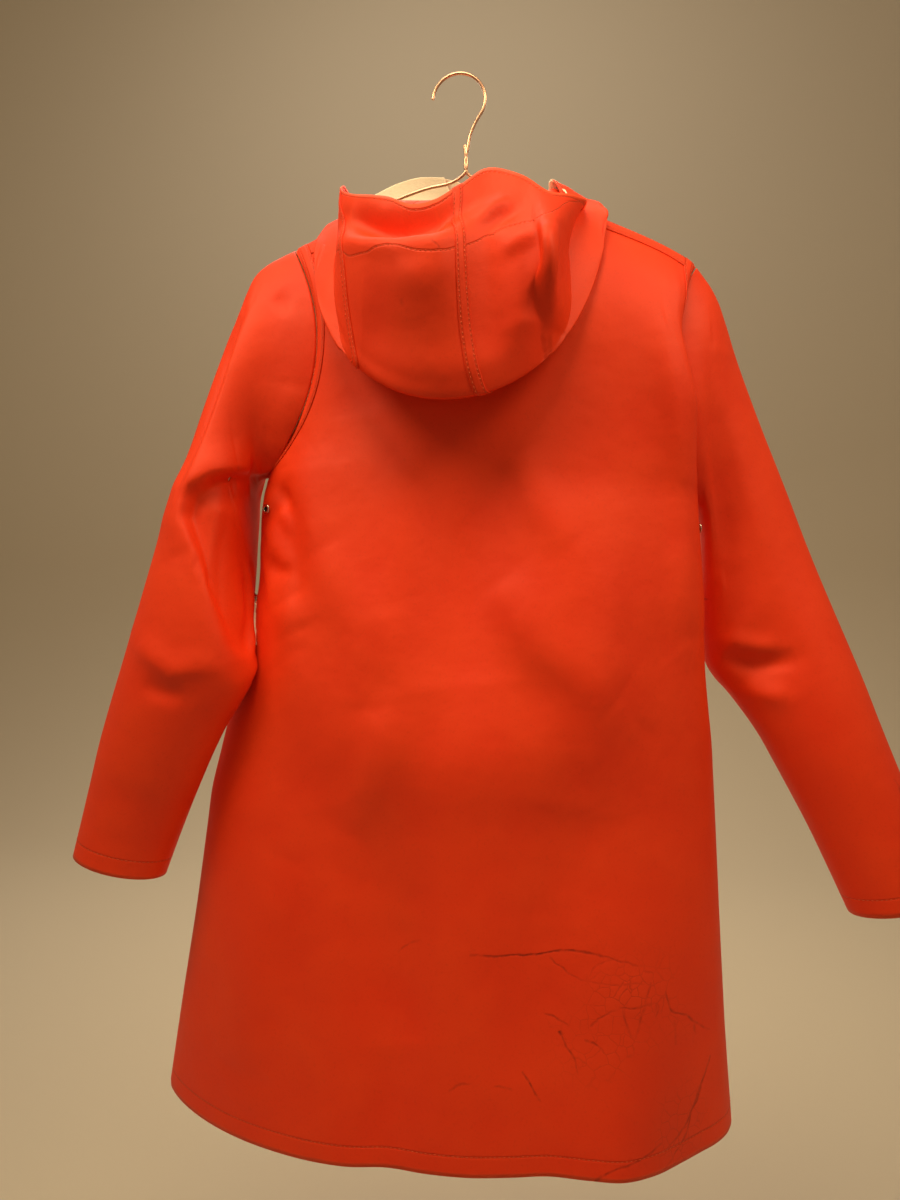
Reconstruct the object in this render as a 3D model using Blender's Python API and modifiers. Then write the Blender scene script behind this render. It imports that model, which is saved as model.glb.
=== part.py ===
"""Hooded A-line raincoat of coated cotton on a copper wire hanger, as it hangs from a rod.

Metres, +Z up. The wearer's front faces -Y and the back faces +Y, so the wearer's left is +X.
The origin is the inside top of the hanger's hook, where the rod carries it.
Every cloth piece is a loft through sections worked out from the tables below, whose rows are in
millimetres, and Solidify gives it the wall of the coated cloth on its inner side.
"""

import math

import bpy
import numpy as np
from mathutils import Vector
from mathutils.bvhtree import BVHTree

# ---------------------------------------------------------------- driving dimensions
MM = 0.001
CLOTH = 1.5 * MM
TAPE = 1.0 * MM
TAPE_WIDTH = 11 * MM
TAPE_GAP = 0.9 * MM
ARMHOLE_TAPE_GAP = 1.6 * MM  # the body is rounder here, and a flat strip of tape must clear it
TAPE_INSET = 2.5 * MM
TAPE_RAILS = 6
SEAM_GAP = 0.3 * MM
SEAM_TURN = 1.5 * MM

# the stem of the hanger, the neck and the shoulders share this middle
MIDDLE_X = -7 * MM
# the shoulder line: distance from the middle, height of the cloth where it lies on the hanger
RIDGE_COLUMNS = ("reach", "z")
RIDGE = ((80, -119), (133, -147), (150, -155), (183, -171), (200, -180), (214, -188), (226, -198))

WIRE_RADIUS = 1.6 * MM
WIRE_GAP = 1.4 * MM
HOOK_RADIUS = 26 * MM
HOOK_TURNS = (4, 221, 12)  # degrees round the hook from its tip to the bend above the stem, and a step
STEM_LEAN = 0.5 * MM
# the rest of the wire, one half: distance from the middle and height, with the arm's places between
# the two lists worked out from the shoulder line
STEM = ((1.5, -63), (0.5, -69), (0, -97))
ARM_START = ((10, -103), (40, -110))
ARM_REACHES = (82, 108, 133, 158, 183, 200)
ARM_END = ((210, -204), (211, -212), (200, -214))

NECK_HALF = 80 * MM
NECK_BACK = (54 * MM, -27 * MM)
NECK_FRONT = (60 * MM, -46 * MM)
# how far the back (1) and the front (-1) still rise to the middle at the height of the armholes
SHOULDER_RISE = {1: 52 * MM, -1: 20 * MM}

# the seam of each side below its underarm, and how deep and how square the body is there
SIDE_COLUMNS = ("share", "left", "right", "back", "front", "left_power", "right_power")
SIDE_TABLE = (
    (0.00, 194, -208, 92, 66, 1.10, 1.00),
    (0.06, 203, -215, 94, 70, 1.10, 1.00),
    (0.18, 206, -228, 96, 76, 1.10, 1.00),
    (0.30, 222, -239, 97, 80, 1.10, 0.95),
    (0.40, 242, -248, 98, 84, 1.15, 0.90),
    (0.50, 258, -253, 100, 88, 1.15, 0.85),
    (0.70, 277, -259, 106, 94, 1.30, 0.82),
    (0.85, 293, -264, 112, 99, 1.45, 0.80),
    (1.00, 308, -271, 118, 104, 1.55, 0.80),
)
HEM_Z = {"left": -1032 * MM, "right": -1024 * MM}
# how far the sides stay as deep as the armhole below it, before the section is a plain curve
ARMHOLE_FADE = 150 * MM
# the height over which the body grows to its full depth below the middle of the armholes
DEPTH_FADE = 260 * MM
YOKE_SHALLOWER = 0.2
HEM_DROP = 9 * MM
# powers that shape the fall of the cloth: how fast the body rounds out below the shoulder line, and
# how the shoulders' rise, its crown, the neckline's dip and the pull of the side seams fade
ROUND_POWER = 1.35
RISE_POWER = 1.6
CROWN_POWER = 1.5
DIP_POWER = 1.3
EDGE_POWER = 4
RISE_REACH = 420 * MM
# how soon a fold has its full depth, counted from the side seam
FOLD_RISE = 3

# how many degrees the back wraps round past its widest, under the hanger's right tip, where that
# fold hides the armhole
WRAP_COLUMNS = ("z", "degrees")
WRAP = (
    (-198, 0), (-240, 17), (-276, 23), (-330, 35), (-376, 31),
    (-423, 23), (-520, 17), (-574, 11), (-628, 7), (-720, 0),
)

# soft folds of the body: middle, half width, depth out, and where down the piece they run
FOLD_COLUMNS = ("x", "half_width", "out", "top", "bottom")
BACK_FOLDS = (
    (52, 60, -9, -620, -1300),
    (-165, 80, 19, -700, -1400),
    (-20, 75, -14, -330, -640),
    (150, 55, 8, -300, -700),
    (-130, 60, 9, -360, -760),
)
FRONT_FOLDS = (
    (-90, 60, 8, -420, -1400),
    (110, 65, 9, -380, -1400),
    (30, 50, -7, -600, -1500),
)

# sleeve sections: outer and inner edge, middle y, half depths, how far the section bows inward.
# The first section is the armhole.
SLEEVE_COLUMNS = ("outer_x", "outer_z", "inner_x", "inner_z", "mid_y", "back", "front", "bow")
SLEEVE_TABLES = {
    "left": (
        (166, -167, 194, -396, 0, 45, 45, 46),
        (190, -178, 204, -398, 0, 49, 47, 30),
        (205, -192, 208, -406, 2, 51, 48, 12),
        (217, -224, 210, -438, 8, 49, 45, 0),
        (230, -258, 209, -478, 16, 46, 45, 0),
        (249, -322, 205, -521, 32, 43, 45, 0),
        (273, -410, 198, -559, 48, 43, 44, 0),
        (291, -470, 194, -588, 56, 43, 43, 0),
        (309, -530, 205, -614, 58, 42, 41, 0),
        (330, -591, 227, -648, 54, 41, 40, 0),
        (352, -652, 250, -693, 48, 39, 38, 0),
        (374, -720, 277, -750, 38, 38, 38, 0),
        (391, -779, 297, -800, 35, 36, 36, 0),
    ),
    "right": (
        (-231, -198, -208, -420, 0, 45, 45, 28),
        (-244, -212, -224, -424, -6, 45, 46, 14),
        (-256, -232, -238, -438, -14, 44, 47, 4),
        (-276, -284, -243, -482, -26, 42, 47, 0),
        (-301, -346, -243, -527, -34, 42, 46, 0),
        (-326, -408, -246, -566, -36, 43, 45, 0),
        (-349, -471, -253, -592, -33, 43, 44, 0),
        (-373, -533, -270, -613, -27, 42, 43, 0),
        (-397, -593, -297, -650, -22, 41, 42, 0),
        (-421, -656, -323, -697, -20, 40, 40, 0),
        (-448, -722, -352, -752, -20, 38, 38, 0),
        (-480, -810, -389, -831, -20, 36, 36, 0),
    ),
}

# folds of the sleeves: angle round the sleeve from its outer edge over the back, half width in
# degrees, push to the back, and where between armhole at 0 and cuff at 1 and how far it reaches
SLEEVE_FOLDS = {
    "left": (
        (150, 55, 7, 0.27, 0.10),
        (152, 50, -17, 0.46, 0.19),
    ),
    "right": (
        (70, 40, 5, 0.35, 0.30),
        (120, 55, -7, 0.62, 0.09),
    ),
}

# hood rings from the neckline, down the inner wall, round the bottom and up to the rim
HOOD_COLUMNS = (
    "x_left", "x_right", "y_side", "z_left", "z_right", "y_back", "z_back",
    "front_x", "y_front", "z_front", "front_rise", "seam_left", "seam_right",
)
HOOD_TABLE = (
    (73, -87, 0, -119, -119, 54, -146, -7, -60, -165, 1.6, 150, 205),
    (104, -116, 14, -138, -130, 88, -186, -4, -66, -150, 1.6, 147, 204),
    (134, -142, 34, -168, -144, 104, -260, 0, -68, -132, 1.2, 142, 202),
    (130, -134, 56, -196, -182, 112, -323, 4, -68, -118, 0.7, 138, 200),
    (116, -116, 58, -200, -198, 128, -343, 10, -67, -108, 0.7, 134, 196),
    (109, -108, 64, -182, -186, 148, -300, 18, -66, -98, 1.1, 124, 191),
    (108, -112, 58, -154, -168, 164, -234, 28, -64, -88, 1.8, 118, 187),
    (107, -124, 48, -122, -148, 134, -169, 36, -60, -72, 2.6, 97, 181),
)
# the hood's right front edge stays this much longer as low as its side
HOOD_RIGHT_RISE = 1.6
HOOD_LAP = 7  # degrees that each front edge of the hood passes the middle
HOOD_LAP_LIFTS = (0.4, 1, 1, 1)  # the share of the lap's offset in the last columns of the right panel
HOOD_DROOP = 0.85
HOOD_SPACING = 1.2  # rings lie closer together near the neckline
# folds of the hood: angle round the neck, half width in degrees, push out, lift, and where between
# the neckline at 0 and the rim at 1 it is strongest and how far it reaches
HOOD_FOLDS = (
    (199, 26, -28, 32, 1.0, 0.42),
    (163, 20, 4, -9, 1.0, 0.40),
    (226, 17, 15, 0, 0.78, 0.20),
)

FRONT_LAP = 22 * MM
LAP_OFFSET = 3 * MM
SNAP_RADIUS = 6 * MM
SNAP_HEIGHT = 2.4 * MM
LAP_LIFTS = (0.3, 1, 1, 1)  # the share of the lap's offset in the right front's last columns
SNAP_ROWS = (4, 8.5, 13, 17.5, 22)
EYELET_RADIUS = 3.6 * MM
EYELET_WIRE = 1.3 * MM
EYELET_ROW = 12
EYELET_INSET = 34 * MM
ROUND_SIDES, WIRE_SIDES = 20, 8
# how far the hood stands off the body and its tapes, and the sleeves off the body
HOOD_STAND_OFF = 4.5 * MM
HOOD_RIM_LIFT = 7 * MM
SLEEVE_STAND_OFF = 3 * MM
STAND_OFF_REACH = 60 * MM
STAND_OFF_ROUNDS = 3
SQUARE_SHARE = 0.8  # a point less square above its nearest place than this lies past the panel's edge
NECKLINE_GAP = 4 * SEAM_GAP
ARMHOLE_GAP = 3 * SEAM_GAP
HOOD_SEAM_GAP = 2 * SEAM_GAP
HOOD_SEAM_LEAN = 6 * CLOTH  # drawn back more where the two walls lean towards each other

ARM_ROWS = 10
EVEN_ROW = 8  # from here down the columns are evenly spaced
SIDE_ROWS = 18
NECK_COLUMNS = 8
SHOULDER_COLUMNS = 8
SLEEVE_ROWS = 19
SLEEVE_AROUND = 20
HOOD_ROWS = 16
# hood columns from the front lap to the left ridge, the left seam, the right seam, the right ridge
# and the lap again
HOOD_AROUND = (5, 7, 8, 8, 8)
HOOD_SEAMS = (sum(HOOD_AROUND[:2]), sum(HOOD_AROUND[:3]))
# a finished body panel has one more row and two more columns, which turn its seam edges square
UNDER_ROW = ARM_ROWS + 1
# rows of the right armhole where the back is folded over it
FOLDED_ROWS = (4, 5, 6, 7, 8, 9, 10)
# the rows of the back that a shoulder tape lies on, and how far it goes past the neck's end
SHOULDER_TAPE_ROWS = (1.9, 2.25, 2.6)
SHOULDER_TAPE_PAST = 0.7
# the rows over which an armhole tape turns to cross the side seam, and how far in it lies there, in insets
TURN_ROWS = 3
UNDERARM_INSET = 3
HOOD_TAPE_START = 2
HOOD_TAPE_END = HOOD_ROWS - 0.1
BODY_MIDDLE = SHOULDER_COLUMNS + NECK_COLUMNS // 2 + 1
BODY_LAST = 2 * SHOULDER_COLUMNS + NECK_COLUMNS + 2

ORANGE = (0.78, 0.075, 0.018)
COPPER = (0.80, 0.42, 0.30)
SILVER = (0.75, 0.75, 0.74)


# ---------------------------------------------------------------- tables and curves
def smooth(table, at):
    """The table's rows as one smooth curve, read at a place from 0 to 1 along them."""
    rows = np.asarray(table, float)
    place = min(max(at, 0.0), 1.0) * (len(rows) - 1)
    i = min(int(place), len(rows) - 2)
    f = place - i
    before, a, b, after = (rows[min(max(k, 0), len(rows) - 1)] for k in (i - 1, i, i + 1, i + 2))
    slope, bend = b - before, 2 * before - 5 * a + 4 * b - after
    return a + 0.5 * f * (slope + f * (bend + f * (3 * (a - b) + after - before)))


def read(table, columns, at):
    """One row of a table, by name, at a value of its first column; rising or falling columns both work."""
    rows = sorted(table)
    first = [row[0] for row in rows]
    return {name: float(np.interp(at, first, [row[k] for row in rows])) for k, name in enumerate(columns)}


def bump(distance, half_width):
    """A soft rise from 0 at the half width to 1 in the middle."""
    reach = min(abs(distance) / half_width, 1)
    return 0.5 + 0.5 * math.cos(math.pi * reach)


def ridge_z(x):
    """Height of the shoulder line, which lies on the hanger's arm."""
    return read(RIDGE, RIDGE_COLUMNS, abs(x - MIDDLE_X) / MM)["z"] * MM


# ---------------------------------------------------------------- sleeves
def section_point(section, angle):
    """A point of a sleeve section, from its outer edge at 0 round the back to the inner edge."""
    row = dict(zip(SLEEVE_COLUMNS, section))
    outer = np.array([row["outer_x"], row["outer_z"]])
    inner = np.array([row["inner_x"], row["inner_z"]])
    middle, reach = (outer + inner) / 2, (outer - inner) / 2
    inward = np.array([-reach[1], reach[0]]) / np.hypot(*reach)
    inward *= -math.copysign(1, middle[0] * inward[0])
    depth = row["back"] if math.sin(angle) > 0 else row["front"]
    x, z = middle + reach * math.cos(angle) + inward * row["bow"] * math.sin(angle) ** 2
    return np.array([x, row["mid_y"] + depth * math.sin(angle), z]) * MM


def sleeve_surface(side):
    """Outer points of a sleeve, rows from the armhole to the cuff and columns round it."""
    table = SLEEVE_TABLES[side]
    points = np.zeros((SLEEVE_ROWS + 1, SLEEVE_AROUND, 3))
    for row in range(SLEEVE_ROWS + 1):
        section = smooth(table, row / SLEEVE_ROWS)
        for column in range(SLEEVE_AROUND):
            angle = 360 * column / SLEEVE_AROUND
            points[row, column] = section_point(section, math.radians(angle))
            for middle, half_width, push, peak, spread in SLEEVE_FOLDS[side]:
                strength = bump(angle - middle, half_width) * bump(row / SLEEVE_ROWS - peak, spread)
                points[row, column, 1] += push * MM * strength
    points[0, :, 0] += math.copysign(ARMHOLE_GAP, table[0][0])
    return points


# ---------------------------------------------------------------- body
def seam_point(side, face, row):
    """The edge of a body panel at a row: its armhole, then its side seam down to the hem."""
    armhole = SLEEVE_TABLES[side][0]
    if row <= ARM_ROWS:
        return section_point(armhole, face * math.pi * row / ARM_ROWS)
    share = (row - ARM_ROWS) / SIDE_ROWS
    under = section_point(armhole, math.pi)
    x = read(SIDE_TABLE, SIDE_COLUMNS, share)[side] * MM
    return np.array([x, under[1], under[2] + share * (HEM_Z[side] - under[2])])


def top_edge(x, face):
    """How far out and how high a panel's top edge is: the shoulder line or the neckline."""
    reach = abs(x - MIDDLE_X) / NECK_HALF
    if reach >= 1:
        return 0.0, ridge_z(x)
    out, drop = NECK_BACK if face > 0 else NECK_FRONT
    bow = math.sqrt(1 - reach * reach)
    return out * bow, ridge_z(x) + drop * bow


def top_angles(middle, half):
    """Angles of the columns along the top edge, with a column at each end of the neckline."""
    right, left = (math.asin((MIDDLE_X + k * NECK_HALF - middle) / half) for k in (-1, 1))
    shoulder_right = np.linspace(-math.pi / 2, right, SHOULDER_COLUMNS + 1)
    neck = np.linspace(right, left, NECK_COLUMNS + 1)
    shoulder_left = np.linspace(left, math.pi / 2, SHOULDER_COLUMNS + 1)
    return np.concatenate([shoulder_right[:-1], neck[:-1], shoulder_left])


def body_surface(face):
    """Outer points of the whole back (face 1) or front (face -1), rows down and columns to the left."""
    left_top, right_top = (seam_point(side, face, 0) for side in ("left", "right"))
    middle, half = (left_top[0] + right_top[0]) / 2, (left_top[0] - right_top[0]) / 2
    left_middle = seam_point("left", face, ARM_ROWS // 2)
    angles_top = top_angles(middle, half)
    angles_even = np.linspace(-math.pi / 2, math.pi / 2, len(angles_top))
    folds = [dict(zip(FOLD_COLUMNS, row)) for row in (BACK_FOLDS if face > 0 else FRONT_FOLDS)]
    points = np.zeros((ARM_ROWS + SIDE_ROWS + 1, len(angles_top), 3))
    for row in range(ARM_ROWS + SIDE_ROWS + 1):
        left, right = (seam_point(side, face, row) for side in ("left", "right"))
        sizes = read(SIDE_TABLE, SIDE_COLUMNS, max(row - ARM_ROWS, 0) / SIDE_ROWS)
        turn = math.pi * min(row, ARM_ROWS) / ARM_ROWS
        steep = math.sin(min(turn, math.pi / 2)) ** ROUND_POWER
        grown = 1 - YOKE_SHALLOWER * bump(max(0.0, left_middle[2] - left[2]), DEPTH_FADE)
        depth = (sizes["back"] if face > 0 else sizes["front"]) * MM * steep * grown
        past = math.radians(read(WRAP, WRAP_COLUMNS, right[2] / MM)["degrees"]) if face > 0 else 0.0
        width = (left[0] - right[0]) / (1 + math.cos(past))
        centre, wrap = left[0] - width, math.pi / 2 + past
        spread = min(1.0, row / EVEN_ROW)
        fall = max(0.0, 1 - (left_top[2] - left[2]) / RISE_REACH) ** RISE_POWER
        soft = SLEEVE_TABLES["left"][0][5] * MM * bump(max(0.0, left_middle[2] - left[2]), ARMHOLE_FADE)
        for column, (top, even) in enumerate(zip(angles_top, angles_even)):
            angle = top + (even - top) * spread
            reach = angle if angle > 0 else angle * wrap / (math.pi / 2)
            closed = 0.0 if angle > 0 else math.cos(wrap)
            x = centre + width * math.sin(reach)
            share = (math.sin(angle) + 1) / 2
            level = share * left[2] + (1 - share) * right[2]
            # the shoulder line's rise fades slowly, the neckline's dip soon
            top_x = middle + half * math.sin(top)
            out_top, z_top = top_edge(top_x, face)
            rise = z_top - (share * left_top[2] + (1 - share) * right_top[2])
            slow = SHOULDER_RISE[face] * math.cos(angle) ** CROWN_POWER
            level += slow * fall + (rise - slow) * (1 - steep) ** DIP_POWER
            crown = max(0.0, (math.cos(reach) - closed) / (1 - closed))
            crown **= share * sizes["left_power"] + (1 - share) * sizes["right_power"]
            edge = face * (share * left[1] + (1 - share) * right[1])
            side = soft if row > ARM_ROWS // 2 else edge
            out = side * (1 - crown) + depth * crown + (edge - side) * (1 - crown) ** EDGE_POWER
            out += out_top * (1 - steep)
            level -= HEM_DROP * max(0, row - ARM_ROWS) / SIDE_ROWS * math.sqrt(math.cos(angle))
            for fold in folds:
                run = bump(level / MM - (fold["top"] + fold["bottom"]) / 2, (fold["top"] - fold["bottom"]) / 2)
                out += fold["out"] * MM * bump(x / MM - fold["x"], fold["half_width"]) * run * min(1, FOLD_RISE * crown)
            points[row, column] = (x, face * out, level)
    return with_seams(points, face)


def with_seams(points, face):
    """The panel drawn back by half a gap, its shoulder and side edges turned square to their seams."""
    square = np.array([0, face * SEAM_TURN, 0])
    points = points.copy()
    shoulders = [k for k in range(points.shape[1]) if not SHOULDER_COLUMNS < k < SHOULDER_COLUMNS + NECK_COLUMNS]
    points[0, shoulders, 1] = face * SEAM_GAP / 2
    points[0, (SHOULDER_COLUMNS, SHOULDER_COLUMNS + NECK_COLUMNS), 1] = face * SEAM_GAP
    points[ARM_ROWS:, (0, -1), 1] += face * SEAM_GAP / 2
    below = points[0] + along(points[0], points[1]) * SEAM_TURN
    below[shoulders] = points[0, shoulders] + square
    points = np.insert(points, 1, below, axis=0)
    sides = []
    for edge, beside in ((0, 1), (-1, -2)):
        inside = points[:, edge] + along(points[:, edge], points[:, beside]) * SEAM_TURN
        inside[UNDER_ROW:] = points[UNDER_ROW:, edge] + square
        sides.append(inside)
    return np.insert(np.insert(points, 1, sides[0], axis=1), -1, sides[1], axis=1)


def along(start, end):
    """Unit steps from one row of points to another."""
    away = end - start
    return away / np.maximum(np.linalg.norm(away, axis=-1, keepdims=True), 1e-9)


# ---------------------------------------------------------------- hood
def hood_point(ring, degrees):
    """A point of a hood ring, by its angle round the neck: 0 in front, 90 left, 180 behind."""
    row = dict(zip(HOOD_COLUMNS, ring))
    side, ahead = math.sin(math.radians(degrees)), math.cos(math.radians(degrees))
    share = (side + 1) / 2
    x = row["x_right"] + (row["x_left"] - row["x_right"]) * share
    z = row["z_right"] + (row["z_left"] - row["z_right"]) * share
    if ahead > 0:
        x += (row["front_x"] - (row["x_left"] + row["x_right"]) / 2) * ahead ** 2
        y = row["y_side"] + (row["y_front"] - row["y_side"]) * ahead
        z += (row["z_front"] - z) * ahead ** (row["front_rise"] * (1 if side > 0 else HOOD_RIGHT_RISE))
    else:
        y = row["y_side"] - (row["y_back"] - row["y_side"]) * ahead
        z += (row["z_back"] - z) * (-ahead) ** HOOD_DROOP
    return np.array([x, y, z]) * MM


def on_neckline(point, behind, back, front):
    """The point of a body panel's top edge above or below a point of the hood's first ring."""
    edge = (back if behind else front)[0]
    return np.array([point[0], *(np.interp(point[0], edge[:, 0], edge[:, k]) for k in (1, 2))])


def hood_surface(back, front):
    """Points of the hood's outer face, rings from neckline to rim, columns right round the neck."""
    points = np.zeros((HOOD_ROWS + 1, sum(HOOD_AROUND) + 1, 3))
    for row in range(HOOD_ROWS + 1):
        share = (row / HOOD_ROWS) ** HOOD_SPACING
        ring = smooth(HOOD_TABLE, share)
        on_ridge = math.degrees(math.acos(ring[2] / (ring[2] - ring[8])))
        stops = (-HOOD_LAP, on_ridge, *ring[11:], 360 - on_ridge, 360 + HOOD_LAP)
        runs = [np.linspace(stops[k], stops[k + 1], count + 1)[:-1] for k, count in enumerate(HOOD_AROUND)]
        for column, degrees in enumerate([*np.concatenate(runs), stops[-1]]):
            point = hood_point(ring, degrees)
            for middle, half_width, push, lift, peak, spread in HOOD_FOLDS:
                strength = bump(degrees - middle, half_width) * bump(share - peak, spread)
                point += np.array([0, push, lift]) * MM * strength
            if row == 0:
                point = on_neckline(point, 90 < degrees < 270, back, front)
                point[2] += NECKLINE_GAP
            points[row, column] = point
    return points


def lay_on_ridges(hood):
    """Lift the hood's two columns that cross the shoulders, so that its layers lie on the ridges."""
    for column in (HOOD_AROUND[0], -1 - HOOD_AROUND[-1]):
        for row in range(1, HOOD_ROWS + 1):
            x, _, z = hood[row, column]
            above = HOOD_STAND_OFF + HOOD_RIM_LIFT * max(0.0, 2 * row / HOOD_ROWS - 1)
            if abs(x - MIDDLE_X) > NECK_HALF:
                hood[row, column, 2] = max(z, ridge_z(x) + above)


# ---------------------------------------------------------------- making pieces
def material(name, colour, roughness, metallic=0.0):
    made = bpy.data.materials.new(name)
    made.use_nodes = True
    shader = made.node_tree.nodes["Principled BSDF"]
    shader.inputs["Base Color"].default_value = (*colour, 1)
    shader.inputs["Roughness"].default_value = roughness
    shader.inputs["Metallic"].default_value = metallic
    return made


def cloth_piece(name, points, around=False, turned=False, wall=CLOTH, outward=False):
    """A named piece of cloth: a sheet through a grid of points, with its wall from Solidify."""
    rows, columns = points.shape[:2]
    faces = []
    for row in range(rows - 1):
        for column in range(columns if around else columns - 1):
            upper, lower = row * columns, (row + 1) * columns
            beside = (column + 1) % columns
            face = (upper + column, upper + beside, lower + beside, lower + column)
            faces.append(face[::-1] if turned else face)
    mesh = bpy.data.meshes.new(name)
    mesh.from_pydata(points.reshape(-1, 3).tolist(), [], faces)
    mesh.materials.append(material(name, ORANGE, 0.55))
    mesh.shade_smooth()
    piece = bpy.data.objects.new(name, mesh)
    parts.objects.link(piece)
    solid = piece.modifiers.new("wall", "SOLIDIFY")
    solid.thickness = wall
    solid.offset = 1 if outward else -1
    return piece


def take(piece, name, colour, roughness, metallic):
    """Name a new primitive, give it its material and file it with the parts."""
    piece.name = piece.data.name = name
    piece.data.materials.append(material(name, colour, roughness, metallic))
    for collection in piece.users_collection:
        collection.objects.unlink(piece)
    parts.objects.link(piece)


def normals(points, face=1):
    """Unit normals of a grid, out of the cloth: face 1 where columns run right to left seen from outside."""
    across, down = np.gradient(points, axis=1), np.gradient(points, axis=0)
    out = np.cross(across, down) * face
    return out / np.maximum(np.linalg.norm(out, axis=2, keepdims=True), 1e-9)


def between(grid, row, column):
    """A grid read between its points."""
    row = min(max(row, 0), grid.shape[0] - 1)
    column = min(max(column, 0), grid.shape[1] - 1)
    i, j = min(int(row), grid.shape[0] - 2), min(int(column), grid.shape[1] - 2)
    f, g = row - i, column - j
    upper = grid[i, j] * (1 - g) + grid[i, j + 1] * g
    lower = grid[i + 1, j] * (1 - g) + grid[i + 1, j + 1] * g
    return upper * (1 - f) + lower * f


def surface_tree(grids):
    """A tree of the outer faces of some grids, each given with whether its columns run the other way."""
    points, faces = [], []
    for grid, turned in grids:
        rows, columns = grid.shape[:2]
        first = len(points)
        points += [Vector(point) for point in grid.reshape(-1, 3)]
        for corner in (r * columns + c for r in range(rows - 1) for c in range(columns - 1)):
            face = [first + corner + k for k in (0, 1, columns + 1, columns)]
            faces.append(face[::-1] if turned else face)
    return BVHTree.FromPolygons(points, faces)


def stand_off(points, under, gap):
    """Move points, edges and faces of a grid that are nearer to a surface than a gap, or inside it, off it."""
    for down, across in ((0, 0), (0, 1), (1, 0), (1, 1)) * STAND_OFF_ROUNDS:
        for row, column in np.ndindex(points.shape[0] - down, points.shape[1] - across):
            patch = points[row:row + down + 1, column:column + across + 1]
            middle = Vector(patch.mean(axis=(0, 1)))
            place, normal, _, away = under.find_nearest(middle)
            height = (middle - place).dot(normal)
            beyond_edge = abs(height) < SQUARE_SHARE * away
            if height < gap and away < STAND_OFF_REACH and not beyond_edge:
                patch += np.array(normal) * (gap - height)


def columns_in(grid, row, column, step, distance):
    """The column that lies a distance from another, walking along the row by step 1 or -1."""
    here = between(grid, row, column)
    while True:
        there = between(grid, row, column + step)
        length = np.linalg.norm(there - here)
        if length >= distance:
            return column + step * distance / length
        distance -= length
        column, here = column + step, there


def on_cloth(grid, out, row, column):
    """A point of a tape that lies on a panel: the panel's own point, moved out of it."""
    return between(grid, row, column) + between(out, row, column) * TAPE_GAP


# ---------------------------------------------------------------- body panels
def make_fronts(grid):
    """Two fronts that pass each other at the middle; the right one, with the snaps, lies outside."""
    out = normals(grid, -1)
    rows = range(grid.shape[0])
    left_edge, right_edge = (
        np.array([between(grid, row, columns_in(grid, row, BODY_MIDDLE, step, FRONT_LAP)) for row in rows])
        for step in (-1, 1)
    )
    left = np.concatenate([left_edge[:, None], grid[:, BODY_MIDDLE:]], axis=1)
    right = np.concatenate([grid[:, :BODY_MIDDLE + 1], right_edge[:, None]], axis=1)
    for column, share in enumerate(LAP_LIFTS, -len(LAP_LIFTS)):
        right[:, column, 1] -= LAP_OFFSET * share
    cloth_piece("front_left", left, turned=True)
    cloth_piece("front_right", right, turned=True)
    return right[:, BODY_MIDDLE], out[:, BODY_MIDDLE]


# ---------------------------------------------------------------- tapes over the seams
def make_shoulder_tapes(back, body):
    """A tape over each shoulder seam, on the back's side of the ridge, from the hood to the armhole."""
    out = normals(back)
    for side, edge, step in (("right", 0, 1), ("left", BODY_LAST, -1)):
        start = columns_in(back, 1, edge, step, TAPE_INSET + TAPE_WIDTH + 5 * TAPE_GAP)
        stops = np.linspace(start, edge + step * (SHOULDER_COLUMNS + SHOULDER_TAPE_PAST), SHOULDER_COLUMNS)
        points = np.array([[on_cloth(back, out, row, column) for column in stops] for row in SHOULDER_TAPE_ROWS])
        stand_off(points, body, TAPE_GAP)
        cloth_piece(f"shoulder_tape_{side}", points, turned=side == "left", wall=TAPE, outward=True)


def make_armhole_tapes(back, front, body):
    """A tape round each armhole, on the body's side of the seam; the right one ends inside the fold."""
    for side, edge, step, fold in (("right", 0, 1, FOLDED_ROWS), ("left", BODY_LAST, -1, ())):
        stations = [(back, 1, row) for row in range(1, UNDER_ROW + 1) if row not in fold]
        stations += [(front, -1, row) for row in range(UNDER_ROW, 0, -1)]
        if fold:
            stations = stations[fold[0] - 1:] + stations[:fold[0] - 1]
        rails = []
        for grid, face, row in stations:
            # near the underarm the tape turns from running down to running across the side seam
            under = max(0.0, 1 - (UNDER_ROW - row) / TURN_ROWS) ** 2
            inset = TAPE_INSET * (1 + (UNDERARM_INSET - 1) * under)
            for distance in np.linspace(inset, inset + TAPE_WIDTH, TAPE_RAILS):
                drop = under * distance / np.linalg.norm(grid[UNDER_ROW + 1, edge] - grid[UNDER_ROW, edge])
                column = columns_in(grid, row + drop, edge, step, max(distance * (1 - under), MM / 100))
                rails.append(on_cloth(grid, normals(grid, face), row + drop, column))
        points = np.array(rails).reshape(-1, TAPE_RAILS, 3).transpose(1, 0, 2)
        stand_off(points, body, ARMHOLE_TAPE_GAP)
        name = f"armhole_tape_{side}"
        cloth_piece(name, points, around=not fold, turned=side == "right", wall=TAPE, outward=True)


def make_hood_tapes(hood):
    """A tape along each of the two seams that join the hood's middle panel to its sides."""
    out = normals(hood)
    for side, column in zip(("left", "right"), HOOD_SEAMS):
        rows = [*range(HOOD_TAPE_START, HOOD_ROWS), HOOD_TAPE_END]
        rails = []
        for row in rows:
            before = columns_in(hood, row, column, -1, TAPE_WIDTH / 2)
            after = columns_in(hood, row, column, 1, TAPE_WIDTH / 2)
            rails.append([on_cloth(hood, out, row, place) for place in (before, column, after)])
        cloth_piece(f"hood_tape_{side}", np.array(rails), wall=TAPE, outward=True)


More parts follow.
